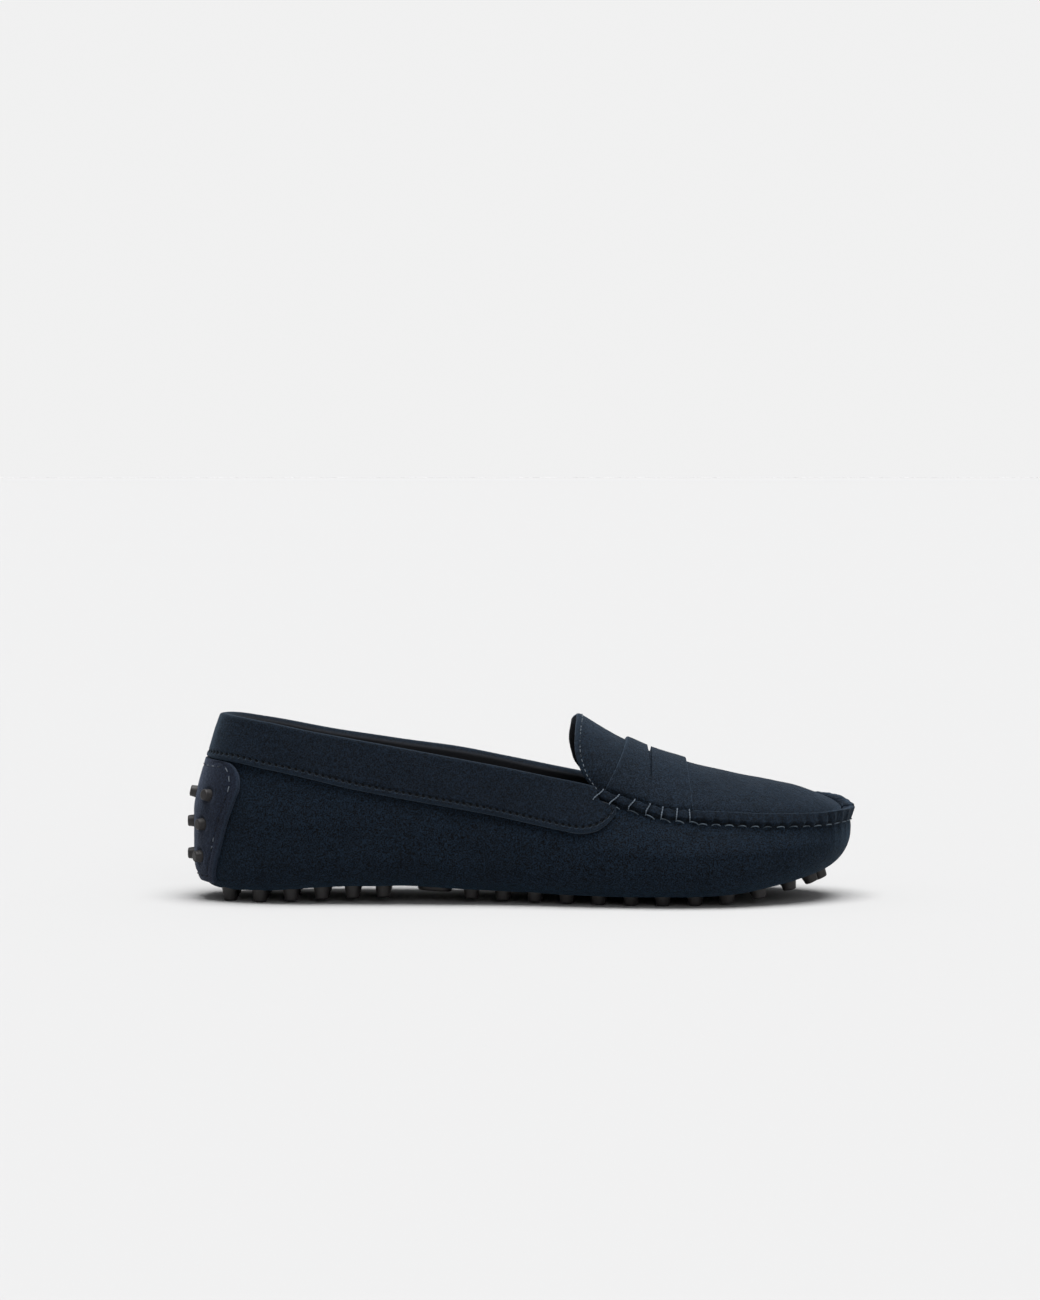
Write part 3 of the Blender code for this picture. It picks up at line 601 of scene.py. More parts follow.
HEEL_STUDS = stud_rows(HEEL_FIRST_ROW, HEEL_LAST_ROW, HEEL_ROWS)
FORE_STUDS = stud_rows(FORE_FIRST_ROW, FORE_LAST_ROW, FORE_ROWS)
FORE_STUDS += [(row.share * LENGTH, float(centre_line(row.share * LENGTH)) + side * row.spread * TOE_CENTRE)
               for row in TOE_ROWS for side in (-1, 1)]


def stud_axis(x):
    step = 0.002
    slope = float(bottom_height(x + step) - bottom_height(x - step)) / (2 * step)
    slope += TOE_ROW_TILT * (x >= TOE_ROWS[0].share * LENGTH)
    return unit(np.array((slope, 0.0, -1.0)))


def back_stud_places():
    places = []
    for row in BACK_ROWS:
        turn = float(turn_of(row.reach * HEEL_CENTRE / LENGTH))
        for column in (-1, 0, 1):
            ring = turn * column
            places.append((ring, float(level_at(ring, row.height * HEEL_TOP))))
    return places


# Suede pieces

UPPER_RINGS = 480
UPPER_LEVELS = 76
INNER_LEVELS = 22
BOTTOM_ROWS = 73
FLOOR_ROWS = 5
HOLE_EDGE = 0.0005
DIMPLE_START = 0.0002
DIMPLE_END = 0.0016
BOTTOM_SWELL = 0.00010


def upper_levels(count):
    """Levels with a third of them on the rounded corner."""
    corner = count // 3
    return np.concatenate((np.linspace(0, ROUND, corner, endpoint=False),
                           np.linspace(ROUND, 1, count - corner + 1)))


def dimple(distance, radius):
    """1 at a pebble's side and 0 a little away from it."""
    return 1 - smooth(distance, radius + DIMPLE_START, radius + DIMPLE_END)


def flat_grid(rings, rows, above, holes):
    """Grid across the flat bottom between the two sides, dimpled where pebbles come through."""
    turns = np.linspace(0.0, 1.0, rings // 2 + 1)
    left = level_point(turns, 0.0)[:, None]
    right = level_point(2 - turns, 0.0)[:, None]
    share = np.linspace(0, 1, rows)[None, :, None]
    points = left + (right - left) * share
    points[..., 2] = bottom_height(points[..., 0]) + above
    if holes:
        rim = np.sin(np.pi * share[..., 0]) ** 0.5
        dip = np.zeros(points.shape[:2])
        for x, y in HEEL_STUDS + FORE_STUDS:
            near = np.hypot(points[..., 0] - x, points[..., 1] - y)
            dip = np.maximum(dip, dimple(near, STUD_ROOT))
        swell = BOTTOM_SWELL * np.sin(410 * points[..., 0]) * np.cos(330 * points[..., 1])
        points[..., 2] += (HOLE_EDGE * dip + swell) * rim
    return points


def make_upper(finish):
    rings = np.arange(UPPER_RINGS) * 2 / UPPER_RINGS
    level = upper_levels(UPPER_LEVELS)[:, None]
    outer = surface(rings[None, :], level, side_relief(rings[None, :], level))
    inner_level = upper_levels(INNER_LEVELS)[:, None]
    inner = surface(rings[None, :], inner_level, -WALL)
    lip = np.stack((outer[-1], inner[-1]))
    bottom = flat_grid(UPPER_RINGS, BOTTOM_ROWS, 0.0, True)
    floor = flat_grid(UPPER_RINGS, FLOOR_ROWS, WALL, False)
    floor_rim = np.stack((inner[0], floor_loop(floor)))
    points, faces = join_grids([(outer, True), (inner, True), (lip, True), (bottom, False),
                                (floor, False), (floor_rim, True)])
    return make_object("upper_suede", points, faces, finish, weld=5 * WELD)


def floor_loop(grid):
    """Rim of a flat grid, in the order of the bowl's rings."""
    return np.concatenate((grid[:, 0], grid[-2:0:-1, -1]))


APRON_ACROSS = 121
APRON_ALONG = 190
ARC_PART = 0.96             # part of a half turn that spaces the points across the apron
EDGE_ROUND = 0.0006
TIP_HALF = 0.0040           # least half width that the apron's edge forms are measured with
PUCKER_DEEP = 0.00028
PUCKER_REACH = 0.0032
HOLLOW_DEEP = 0.00045
HOLLOW_PLACE = 0.0030
HOLLOW_WIDE = 0.0026
SWELL_DEEP = 0.00006
TOE_HIGHLIGHT_PLACE = 0.0008          # painted highlight along the apron's rim at the toe
TOE_HIGHLIGHT_WIDE = 0.0010
CUT_WIDE = 0.0006           # pale cut edges


def apron_shares(across, count):
    """Shares along the apron at each place across, from the tongue's edge to the tip."""
    rear = turn_of(TONGUE_BACK(across))
    t = np.linspace(0, 1, count)
    return share_of(rear[:, None] + (APRON_TIP - rear[:, None]) * t[None, :])


def apron_relief(share, across):
    """Small puckers where the apron is drawn into the seam, and the hollow along it."""
    ring = np.where(across < 0, turn_of(share), 2 - turn_of(share))
    edge = 1 - np.abs(across)
    fore = smooth(share, THROAT, THROAT + 0.03)
    into = edge * np.maximum(half_width(share * LENGTH), TIP_HALF)
    puckers = PUCKER_DEEP * (gather(ring) - 0.5) * np.exp(-into / PUCKER_REACH)
    hollow = -HOLLOW_DEEP * bell(into, HOLLOW_PLACE, HOLLOW_WIDE) * smooth(into, 0.0, 0.4 * HOLLOW_PLACE)
    soft = SWELL_DEEP * (np.sin(95 * share + 7 * across) + np.sin(61 * share - 11 * across + 1.0))
    return fore * (puckers + hollow) + soft * smooth(into, 0.0, 0.004)


def rounded(distance, radius):
    """Drop of a rounded edge at a distance from the border."""
    t = np.clip(distance / radius, 0.0, 1.0)
    return radius * (1 - np.sqrt(np.maximum(1 - (1 - t) ** 2, 0.0)))


def make_apron(finish):
    across = np.sin(np.linspace(-1, 1, APRON_ACROSS) * ARC_PART * np.pi / 2) / np.sin(ARC_PART * np.pi / 2)
    shares = apron_shares(across, APRON_ALONG)
    wide = across[:, None] + 0 * shares
    from_edge = arc_grid(apron_line_point(shares, wide))
    drop = rounded(from_edge, EDGE_ROUND)
    outer = apron_point(shares, wide, apron_relief(shares, wide) - drop)
    inner = apron_point(shares, wide, -APRON_THICK + drop)
    into = (1 - np.abs(wide)) * np.maximum(half_width(shares * LENGTH), TIP_HALF)
    # Painted highlight along the apron's rim near the toe, laid into the pale mark together with its real cut
    # edge
    wear_and_highlight = bell(into, TOE_HIGHLIGHT_PLACE, TOE_HIGHLIGHT_WIDE) * smooth(shares, 0.86, 0.92)
    pale = bell(from_edge, 0.0004, CUT_WIDE) + 1.6 * wear_and_highlight
    return make_sheet("apron_suede", outer, inner, finish, ((pale, 0, 0), (0, 1, 0)))


def arc_grid(points):
    """Distance along each row of a grid from its first column."""
    steps = np.linalg.norm(np.diff(points, axis=1), axis=-1)
    return np.concatenate((np.zeros((len(points), 1)), np.cumsum(steps, axis=1)), axis=1)


STRAP_ROWS = 121
STRAP_COLUMNS = 50
STRAP_SIGHT = 0.985         # how far down the strap's thinned ends are seen
STRAP_SWELL = 0.00018
STRAP_ROUND = 0.00045
STRAP_OFF = 0.0002
SLOT_POINTS = 48


def make_saddle_strap(finish):
    across = np.linspace(-STRAP_SIGHT, STRAP_SIGHT, STRAP_ROWS)
    rear, front = strap_edges(across)
    t = (1 - np.cos(np.linspace(0, np.pi, STRAP_COLUMNS))) / 2
    shares = rear[:, None] + (front - rear)[:, None] * t[None, :]
    wide = across[:, None] + 0 * shares
    along = arc_grid(apron_line_point(shares, wide))
    edge = np.minimum(along, along[:, -1:] - along)
    swell = STRAP_SWELL * smooth(edge, 0.0, 0.004)
    fine = smooth(STRAP_SIGHT - np.abs(wide), 0.0, 0.10)
    top = (GAP + STRAP_THICK + swell) * (0.35 + 0.65 * fine) - rounded(edge, STRAP_ROUND)
    outer = apron_point(shares, wide, top)
    inner = apron_point(shares, wide, -STRAP_OFF)
    pale = 0.45 * bell(along, 0.0, CUT_WIDE)
    strap = make_sheet("saddle_strap_suede", outer, inner, finish, ((pale, 0, 0), (pale, 0, 0)))
    cut_slot(strap)
    return strap


def cut_slot(strap):
    """The strap's slot: a pointed opening, widest on top of the instep."""
    count = SLOT_POINTS
    turn = full_turn(count)
    x = SLOT_SHARE * LENGTH
    ring = np.stack((x + np.cos(turn) * np.abs(np.cos(turn)) ** 0.4 * SLOT_WIDE / 2,
                     float(centre_line(x)) + np.sin(turn) * SLOT_LONG / 2), axis=-1)
    low, high = TOE_TOP * 0.8, TONGUE_TOP * 1.1
    points = np.concatenate([np.concatenate((ring, np.full((count, 1), z)), axis=1) for z in (low, high)])
    shape = bmesh.new()
    made = [shape.verts.new(point) for point in shown(points)]
    shape.faces.new(made[:count][::-1])
    shape.faces.new(made[count:])
    for i in range(count):
        j = (i + 1) % count
        shape.faces.new((made[i], made[j], made[count + j], made[count + i]))
    bmesh.ops.recalc_face_normals(shape, faces=shape.faces)
    mesh = bpy.data.meshes.new("slot_cutter")
    shape.to_mesh(mesh)
    shape.free()
    cutter = add_object("slot_cutter", mesh)
    change = strap.modifiers.new("slot", "BOOLEAN")
    change.operation = "DIFFERENCE"
    change.solver = "EXACT"
    change.object = cutter
    bpy.context.view_layer.update()
    graph = bpy.context.evaluated_depsgraph_get()
    cut = bpy.data.meshes.new_from_object(strap.evaluated_get(graph))
    strap.modifiers.clear()
    strap.data = cut
    bpy.data.objects.remove(cutter)


RIDGE_STATIONS = 860
RIDGE_TOP = table(
    "out lift",
    (0.90, 0.35), (0.78, 0.72), (0.55, 0.95), (0.30, 1.00), (0.08, 0.86), (-0.10, 0.78),
    (-0.35, 0.98), (-0.62, 0.96), (-0.84, 0.70), (-0.95, 0.25), (-1.02, -0.25),
)
RIDGE_LEG = 16
RIDGE_END = 0.0022          # length over which the ridge ends at the throat
RIDGE_SHORT = 0.0011        # how much shorter its face is at the rear
RIDGE_FORE_LONG = 0.0010    # and how much of that it gains towards the toe
RIDGE_SCALLOP = 0.00070
RIDGE_PINCH = 0.00055
RIDGE_PLEAT = 0.00010
CROWN_PINCH = 0.00035
RIDGE_WOBBLE = ((0.00012, 1900, 0.0), (0.00010, 3130, 1.0))


def make_seam_ridge(finish):
    """Standing seam: a gathered band of suede outside, its cut edge on top."""
    ring = seam_ring(np.linspace(SEAM_ALONG[0], SEAM_ALONG[-1], RIDGE_STATIONS))
    along = seam_along(ring)
    puff = gather(ring)
    strong = 1 + 0.9 * whip_share(ring)
    end = np.minimum(along - SEAM_ALONG[0], SEAM_ALONG[-1] - along)
    tail = 1 - rounded(end, RIDGE_END) / RIDGE_END
    edge_z = level_point(ring, np.ones_like(ring))[:, 2]
    place = share_of(np.minimum(ring, 2 - ring))
    drop = (RIDGE_HIGH - RIDGE_SHORT + RIDGE_FORE_LONG * smooth(place, 0.70, 0.88)
            + RIDGE_SCALLOP * (puff - 0.55) + ripple(along, RIDGE_WOBBLE))
    low = level_at(ring, edge_z - drop * (0.55 + 0.45 * tail))
    t = np.linspace(0, 1, RIDGE_LEG) ** 1.3
    level = low[:, None] + (1 - low[:, None]) * t[None, :]
    toe = smooth(place, 0.93, 0.995)[:, None]
    round_face = 0.22 + 0.78 * smooth(t, 0.0, 0.26) - 0.10 * smooth(t, 0.6, 1.0)
    bulge = (1 - toe) * round_face + toe * (0.25 + 1.05 * t)
    pinch = (RIDGE_PINCH * strong * (1 - puff))[:, None] * (1 - 0.55 * smooth(t, 0.15, 0.9))
    pleat = RIDGE_PLEAT * np.sin(along * 2600 + 1.5 * np.sin(along * 300))[:, None] * np.sin(np.pi * t)
    proud = (GAP + RIDGE_PROUD) * tail
    out = proud[:, None] * bulge - pinch * bulge + pleat
    leg = surface(ring[:, None], level, out)
    inner_leg = surface(ring[:, None], level, HIDDEN_OFF)
    crown = RIDGE_CROWN * (0.30 + 0.28 * tail) + 0.00013 * np.sin(along * 2100) * np.sin(along * 470)
    crown = crown - CROWN_PINCH * strong * (1 - puff) * whip_share(ring)
    tops, inner_tops = [], []
    one = np.ones_like(ring)
    for step in RIDGE_TOP:
        reach = out[:, -1] if step.out > 0 else WALL * tail
        tops.append(surface(ring, one, step.out * reach, step.lift * crown))
        inner_tops.append(surface(ring, one, step.out * reach * 0.8, HIDDEN_OFF))
    outer = np.concatenate((leg, np.stack(tops, axis=1)), axis=1)
    inner = np.concatenate((inner_leg, np.stack(inner_tops, axis=1)), axis=1)
    station = np.arange(outer.shape[1]) - RIDGE_LEG
    wear_and_highlight = 0.75 + 0.25 * np.sin(along * 900 + 2 * np.sin(along * 230))
    pale = ((0.9 + 1.6 * smooth(place, 0.68, 0.76)) * wear_and_highlight)[:, None] * bell(station, 2.0, 1.6)
    # Painted shade along the ridge's foot and in the pinched notches between its gathers
    foot = 0.9 * bell(t, 0.0, 0.12) + 0.35 * (1 - puff[:, None]) * (1 - 0.6 * t)
    foot = np.concatenate((foot, np.zeros((len(ring), len(RIDGE_TOP)))), axis=1)
    return make_sheet("seam_ridge_suede", outer, inner, finish, ((pale, 0, foot), (0, 0, 0)), sharp=60)


BAND_STATIONS = 520
BAND_LEG = 30
BAND_FOLD = 12
BAND_DOWN = 8
BAND_STITCH = 0.0023        # height of the stitch line over the cuff's lower edge
BAND_STITCH_PITCH = 0.0026
BAND_GROOVE = 0.00052       # depth of the groove at the needle holes
BAND_PUFF = 0.00030         # how much of it the suede between two holes fills
GROOVE_WIDE = 0.00055
BAND_PILLOW = 0.00016
PILLOW_WIDE = 0.0009
BAND_DISH = 0.00022
BAND_WAVE = 0.00010
TUCK_UNDER = 0.0004


def band_rings(count):
    turn = float(turn_of(BAND_FRONT))
    return np.linspace(-turn, turn, count)


def band_low(ring):
    """Level of the cuff's lower edge."""
    return level_at(ring, BAND_LOW(share_of(np.abs(ring))) * HEEL_TOP)


def band_stitches():
    """Ring places, levels and distances along the cuff's stitch line."""
    rings = band_rings(4001)
    line = level_at(rings, level_point(rings, band_low(rings))[..., 2] + BAND_STITCH)
    return rings, line, arc_lengths(level_point(rings, line))


def band_edges(ring):
    """Levels of the cuff's lower edge and top end, and how far it tucks under the seam."""
    share = share_of(np.abs(ring))
    tucked = smooth(share, THROAT - 0.002, THROAT + 0.004)
    edge_z = level_point(ring, np.ones_like(ring))[..., 2]
    cut = level_at(ring, edge_z - RIDGE_HIGH + TUCK_UNDER)
    low = band_low(ring)
    top = 1 + (np.maximum(cut, low + 0.002) - 1) * tucked
    return low, top, tucked


def make_collar_band(finish):
    """Cuff folded over the bowl's edge, with a stitched lower edge."""
    ring = band_rings(BAND_STATIONS)
    low, top, tucked = band_edges(ring)
    t = np.linspace(0, 1, BAND_LEG) ** 1.5
    level = low[:, None] + (top - low)[:, None] * t[None, :]
    base = level_point(ring[:, None], level)
    above = arc_grid(base)
    stitch_rings, _, stitch_along = band_stitches()
    along = np.interp(ring, stitch_rings, stitch_along)[:, None] + 0 * above
    thick = WRAP_GAP + BAND_THICK
    puff = 0.5 - 0.5 * np.cos(2 * np.pi * along / BAND_STITCH_PITCH)
    groove = (BAND_GROOVE - BAND_PUFF * puff) * bell(above, BAND_STITCH, GROOVE_WIDE)
    pillow = BAND_PILLOW * bell(above, BAND_STITCH / 2, PILLOW_WIDE) + BAND_DISH * smooth(above, 0.003, 0.012)
    wave = BAND_WAVE * (np.sin(along * 210) + np.sin(along * 137 + above * 180 + 1.0))
    out = thick + pillow - groove + wave * smooth(above, 0.003, 0.01) - rounded(above, EDGE_ROUND)
    leg = surface(ring[:, None], level, out)
    inner_leg = surface(ring[:, None], level, HIDDEN_OFF)
    angle = np.linspace(0, np.pi, BAND_FOLD + 2)[1:-1]
    half = (WALL + out[:, -1:] + thick) / 2
    centre = out[:, -1:] - half
    fold_out = centre + half * np.cos(angle)
    one = np.ones_like(fold_out)
    fold = surface(ring[:, None], one, fold_out, thick * np.sin(angle) ** 0.9)
    inner_fold = surface(ring[:, None], one, fold_out * 0.6, HIDDEN_OFF)
    edge_z = level_point(ring, np.ones_like(ring))[:, 2]
    deep = level_at(ring, edge_z - BAND_INSIDE)
    down_t = np.linspace(0, 1, BAND_DOWN)
    down_level = 1 + (deep[:, None] - 1) * down_t
    down_out = -WALL - thick + rounded((1 - down_t) * BAND_INSIDE, EDGE_ROUND)
    down = surface(ring[:, None], down_level, down_out)
    inner_down = surface(ring[:, None], down_level, -WALL - HIDDEN_OFF)
    outer = np.concatenate((leg, fold, down), axis=1)
    inner = np.concatenate((inner_leg, inner_fold, inner_down), axis=1)
    for grid in (outer, inner):
        end = grid[:, BAND_LEG - 1:BAND_LEG]
        grid[:, BAND_LEG:] += (end - grid[:, BAND_LEG:]) * tucked[:, None, None]
    station = np.arange(outer.shape[1]) - BAND_LEG
    inside = smooth(station, BAND_FOLD * 0.62, BAND_FOLD * 0.95)
    # Painted highlights: a pale line along the top of the cuff's fold and another along its lower edge
    pale = 1.05 * bell(station, BAND_FOLD * 0.30, 1.5) + 0 * outer[..., 0]
    pale[:, :BAND_LEG] += 0.75 * bell(above, 0.0002, 0.0005)
    height = np.ones_like(pale)
    height[:, :BAND_LEG] = above
    place = along[:, :1]
    return make_sheet("collar_band_suede", outer, inner, finish, ((pale, inside, 0), (0, 1, 0)),
                      ((place, height, 0), (place, 1, 0)))


TAB_STITCH = 0.0034         # how far inside the tab's border its stitch line runs
TAB_GROOVE = 0.00025
TAB_GROOVE_WIDE = 0.0007
TAB_DIMPLE = 0.0004
TAB_ALONG = 80
TAB_ACROSS = 72


def tab_place(height_part, column):
    """Ring and level on the heel tab, height_part from 0 at its top to 1 at its foot."""
    first, last = TAB_ROWS[0].height, TAB_ROWS[-1].height
    height = first + (last - first) * height_part
    turn = turn_of(TAB_REACH(height) * HEEL_CENTRE / LENGTH)
    fade = np.clip((height - TAB_ROWS[1].height) / (first - TAB_ROWS[1].height), 0.0, 1.0)
    ring = turn * column
    return ring, level_at(ring, height * HEEL_TOP - TAB_SHOULDER * fade * column ** 2)


TAB_REACH = curve(TAB_ROWS[::-1], "height", "reach")


def make_heel_tab(finish):
    part = np.linspace(0, 1, TAB_ALONG)[:, None]
    column = np.sin(np.linspace(-np.pi / 2, np.pi / 2, TAB_ACROSS))[None, :]
    part, column = np.broadcast_arrays(part, column)
    ring, level = tab_place(part, column)
    base = level_point(ring, level)
    across = arc_grid(base)
    down = arc_grid(base.swapaxes(0, 1)).T
    edge = np.minimum(np.minimum(across, across[:, -1:] - across), np.minimum(down, down[-1:] - down))
    groove = TAB_GROOVE * bell(edge, TAB_STITCH, TAB_GROOVE_WIDE)
    dimples = np.zeros_like(edge)
    for stud_ring, stud_level in back_stud_places():
        spot = level_point(np.array(stud_ring), np.array(stud_level))
        near = np.linalg.norm(base - spot, axis=-1)
        dimples = np.maximum(dimples, dimple(near, BACK_STUD_RADIUS))
    out = WRAP_GAP + TAB_THICK - rounded(edge, EDGE_ROUND) - groove - TAB_DIMPLE * dimples
    outer, inner = surface(ring, level, out), surface(ring, level, HIDDEN_OFF)
    pale = 0.8 * bell(edge, 0.0003, CUT_WIDE)
    # The dimples round the back pebbles carry painted shade
    return make_sheet("heel_tab_suede", outer, inner, finish, ((pale, 0, 0.6 * dimples), (pale, 0, 0)))


# Rubber and lining

PEG_SIDES = 28
PEG_SOFT = 0.0007           # radius of a pebble's end edge
BACK_PEG_SOFT = 0.0006
PEG_FILLET = 0.0004
BACK_STUD_TAPER = 0.93
BACK_PAD_SIDE = 1.35
BACK_PAD_MARGIN = 0.0045
BACK_PAD_GAP = 0.0006
BACK_PAD_POINTS = 25
SHEET_ALONG = 60
SHEET_ACROSS = 13


def turned(profile, start, axis):
    """Grid of a turned peg: profile rows of radius and distance from start along the axis."""
    side = unit(np.cross(axis, (0.0, 1.0, 0.0) if abs(axis[1]) < 0.9 else (1.0, 0.0, 0.0)))
    other = np.cross(axis, side)
    turn = full_turn(PEG_SIDES)
    ring = np.cos(turn)[:, None] * side + np.sin(turn)[:, None] * other
    return np.stack([np.asarray(start) + axis * along + ring * radius for radius, along in profile])


def peg_profile(start, end, root, tip, soft):
    """Closed profile of a moulded pebble with a soft end and a small fillet at its root."""
    rows = [(0.0, start), (root, start), (root * 1.04, 0.0), (root, PEG_FILLET)]
    angles = np.linspace(0, np.pi / 2, 6)
    rows += [(tip - soft + soft * math.cos(a), end - soft + soft * math.sin(a)) for a in angles]
    return rows + [((tip - soft) * 0.5, end), (0.0, end)]


def make_sole(name, places, proud, rear, front, finish):
    """Rubber sheet inside the bowl with pebbles that come out through the suede."""
    low = WALL + GAP
    x = np.linspace(rear, front, SHEET_ALONG)[:, None]
    side = np.linspace(-1, 1, SHEET_ACROSS)[None, :]
    skins = []
    for above in (low + SHEET_THICK, low):
        y = centre_line(x) + flat_half(x) * side
        skins.append(np.stack((x + 0 * y, y, bottom_height(x) + above + 0 * y), axis=-1))
    grids = sheet_grids(*skins)
    profile = peg_profile(-low - SHEET_THICK / 2, proud, STUD_ROOT, STUD_TIP, PEG_SOFT)
    for x, y in places:
        skin = np.array((x, y, float(bottom_height(x))))
        grids.append((turned(profile, skin, stud_axis(x)), True))
    return make_object(name, *join_grids(grids), finish, sharp=40)


def make_heel_back_studs(finish):
    """Rubber strip inside the heel with pebbles that come out through its tab."""
    spread = float(turn_of(BACK_ROWS[0].reach * HEEL_CENTRE / LENGTH)) * BACK_PAD_SIDE
    top = BACK_ROWS[0].height * HEEL_TOP + BACK_PAD_MARGIN
    low = BACK_ROWS[-1].height * HEEL_TOP - BACK_PAD_MARGIN
    ring = np.linspace(-spread, spread, BACK_PAD_POINTS)[None, :]
    height = np.linspace(low, top, BACK_PAD_POINTS)[:, None]
    level = level_at(ring, height)
    behind = -WALL - BACK_PAD_GAP
    grids = sheet_grids(surface(ring, level, behind), surface(ring, level, behind - SHEET_THICK))
    start = WRAP_GAP + TAB_THICK
    profile = peg_profile(behind - start - SHEET_THICK / 2, BACK_STUD_PROUD, BACK_STUD_RADIUS,
                          BACK_STUD_RADIUS * BACK_STUD_TAPER, BACK_PEG_SOFT)
    for stud_ring, stud_level in back_stud_places():
        place = np.array(stud_ring), np.array(stud_level)
        grids.append((turned(profile, surface(*place, start), directions(*place)[0]), True))
    return make_object("heel_back_pebbles", *join_grids(grids), finish, sharp=40)


PLATE_REAR = 0.337
PLATE_FRONT = 0.390
PLATE_HALF_WIDTH = 0.0180
PLATE_END = 0.55
PLATE_THICK = 0.0014
PLATE_ROUND = 0.0009
PLATE_ALONG = 61
PLATE_ACROSS = 41


def make_arch_plate(finish):
    """Thin rubber plate under the waist, with soft edges."""
    part = np.linspace(0, 1, PLATE_ALONG)[:, None]
    side = np.sin(np.linspace(-np.pi / 2, np.pi / 2, PLATE_ACROSS))[None, :]
    x = LENGTH * (PLATE_REAR + (PLATE_FRONT - PLATE_REAR) * part)
    half = PLATE_HALF_WIDTH * (PLATE_END + (1 - PLATE_END) * (1 - np.abs(2 * part - 1) ** 4) ** 0.5)
    y = centre_line(x) + half * side
    ends = np.minimum(part, 1 - part) * LENGTH * (PLATE_FRONT - PLATE_REAR)
    edge = np.minimum(ends, half * (1 - np.abs(side)))
    thick = PLATE_THICK - rounded(edge, PLATE_ROUND)
    skins = [np.stack((x + 0 * y, y, bottom_height(x) - below + 0 * y), axis=-1)
             for below in (thick + GAP, HIDDEN_OFF)]
    return make_sheet("arch_plate_rubber", *skins, finish)


SOCK_RISE = 0.0004          # how far the sock's edge turns up
SOCK_DISH = 0.0120
SOCK_INSET = 0.66           # how far across the rounded corner its upper skin stops
SOCK_LOW_INSET = 0.72       # and its lower one
SOCK_ALONG = 180
SOCK_ACROSS = 61


def make_insole(finish):
    """Sock over the rubber sheets, softly dished, with its edge turned up at the side."""
    low = WALL + GAP + SHEET_THICK + GAP
    turns = np.linspace(0, 1, SOCK_ALONG)
    share = np.linspace(0, 1, SOCK_ACROSS)[None, :, None]
    skins = []
    for inset, above in ((SOCK_INSET, low + INSOLE_THICK), (SOCK_LOW_INSET, low)):
        sides = []
        for ring in (turns, 2 - turns):
            point = level_point(ring, np.zeros_like(ring))
            rim = level_point(ring, np.full_like(ring, ROUND))
            inward = (point - rim) * (1, 1, 0)
            sides.append(rim * (1, 1, 0) + inward * inset)
        grid = sides[0][:, None] + (sides[1] - sides[0])[:, None] * share
        grid[..., 2] = bottom_height(grid[..., 0]) + above
        skins.append(grid)
    width = np.linalg.norm(skins[0][:, -1] - skins[0][:, 0], axis=-1)[:, None]
    edge = width * np.minimum(share[..., 0], 1 - share[..., 0])
    skins[0][..., 2] += SOCK_RISE * (1 - smooth(edge, 0.0, SOCK_DISH)) - rounded(edge, EDGE_ROUND)
    return make_sheet("sock_lining", *skins, finish)


# Thread

THREAD_LAY = 0.0022         # length of one turn of a twisted thread
STRAND_SHARE = 0.58         # radius of its strands against its own
STITCH_POINTS = 9

# Seams: distance between stitches, part of it left bare at either end of a stitch, radius of
# the thread, its height over the suede in the middle and how much deeper its ends are
CUFF_SEAM, TONGUE_SEAM, TAB_SEAM = table(
    "pitch bare radius high deep",
    (BAND_STITCH_PITCH, 0.17, 0.00024, WRAP_GAP + BAND_THICK - 0.00034, 0.00050),
    (0.0020, 0.18, 0.00018, 0.00010, 0.00038),
    (0.0040, 0.20, 0.00022, WRAP_GAP + TAB_THICK - 0.00004, 0.00040),
)


def cords(stitches, radius, sides, strands):
    """Grids of thin round cords along paths, twisted from strands where there is more than one."""
    grids = []
    turn = full_turn(sides)
    for path, normal in stitches:
        tangent = unit(np.gradient(path, axis=0))
        across = unit(np.cross(tangent, normal))
        up = np.cross(across, tangent)
        for strand in range(strands):
            centre, size = path, radius
            if strands > 1:
                size = radius * STRAND_SHARE
                phase = 2 * np.pi * (arc_lengths(path) / THREAD_LAY + strand / strands)
                centre = path + (radius - size) * (np.cos(phase)[:, None] * across
                                                   + np.sin(phase)[:, None] * up)
            ring = (np.cos(turn)[:, None] * across[:, None] + np.sin(turn)[:, None] * up[:, None]) * size
            caps = [np.repeat(end[:, None], sides, axis=1) for end in (centre[:1], centre[-1:])]
            grids.append((np.concatenate((caps[0], centre[:, None] + ring, caps[1])), True))
    return grids


def make_thread(name, stitches, radius, finish, sides=8, strands=1):
    """One mesh of all stitches of a seam, each given as its path and the normals along it."""
    return make_object(name, *join_grids(cords(stitches, radius, sides, strands)), finish,
                       weld=WELD / 4, sharp=80)


def stitch_parts(seam, count=STITCH_POINTS):
    """Parts of the pitch that a stitch covers, and its height over the suede at each."""
    t = np.linspace(0, 1, count)
    return seam.bare + (1 - 2 * seam.bare) * t, seam.high - seam.deep * (1 - arch(t))


def side_stitches(seam, line, straight=False):
    """Stitches along a line of ring places and levels that dive into the suede at both ends.

    Straight ones are drawn tight between their two holes and leave the line where it bends.
    """
    rings, levels, lengths = line
    parts, out = stitch_parts(seam)
    stitches = []
    for i in range(int(lengths[-1] / seam.pitch)):
        place = [np.interp((i + parts) * seam.pitch, lengths, values) for values in (rings, levels)]
        if straight:
            place = [np.linspace(values[0], values[-1], len(parts)) for values in place]
        stitches.append((surface(*place, out), directions(*place)[0]))
    return stitches


def make_collar_thread(finish):
    """Topstitch along the lower edge of the cuff."""
    stitches = side_stitches(CUFF_SEAM, band_stitches(), straight=True)
    return make_thread("collar_topstitch", stitches, CUFF_SEAM.radius, finish)


TONGUE_STITCH = 0.0019      # how far inside the tongue's edge its stitch line runs
TONGUE_SIGHT = 0.97         # how far across the tongue the stitches go


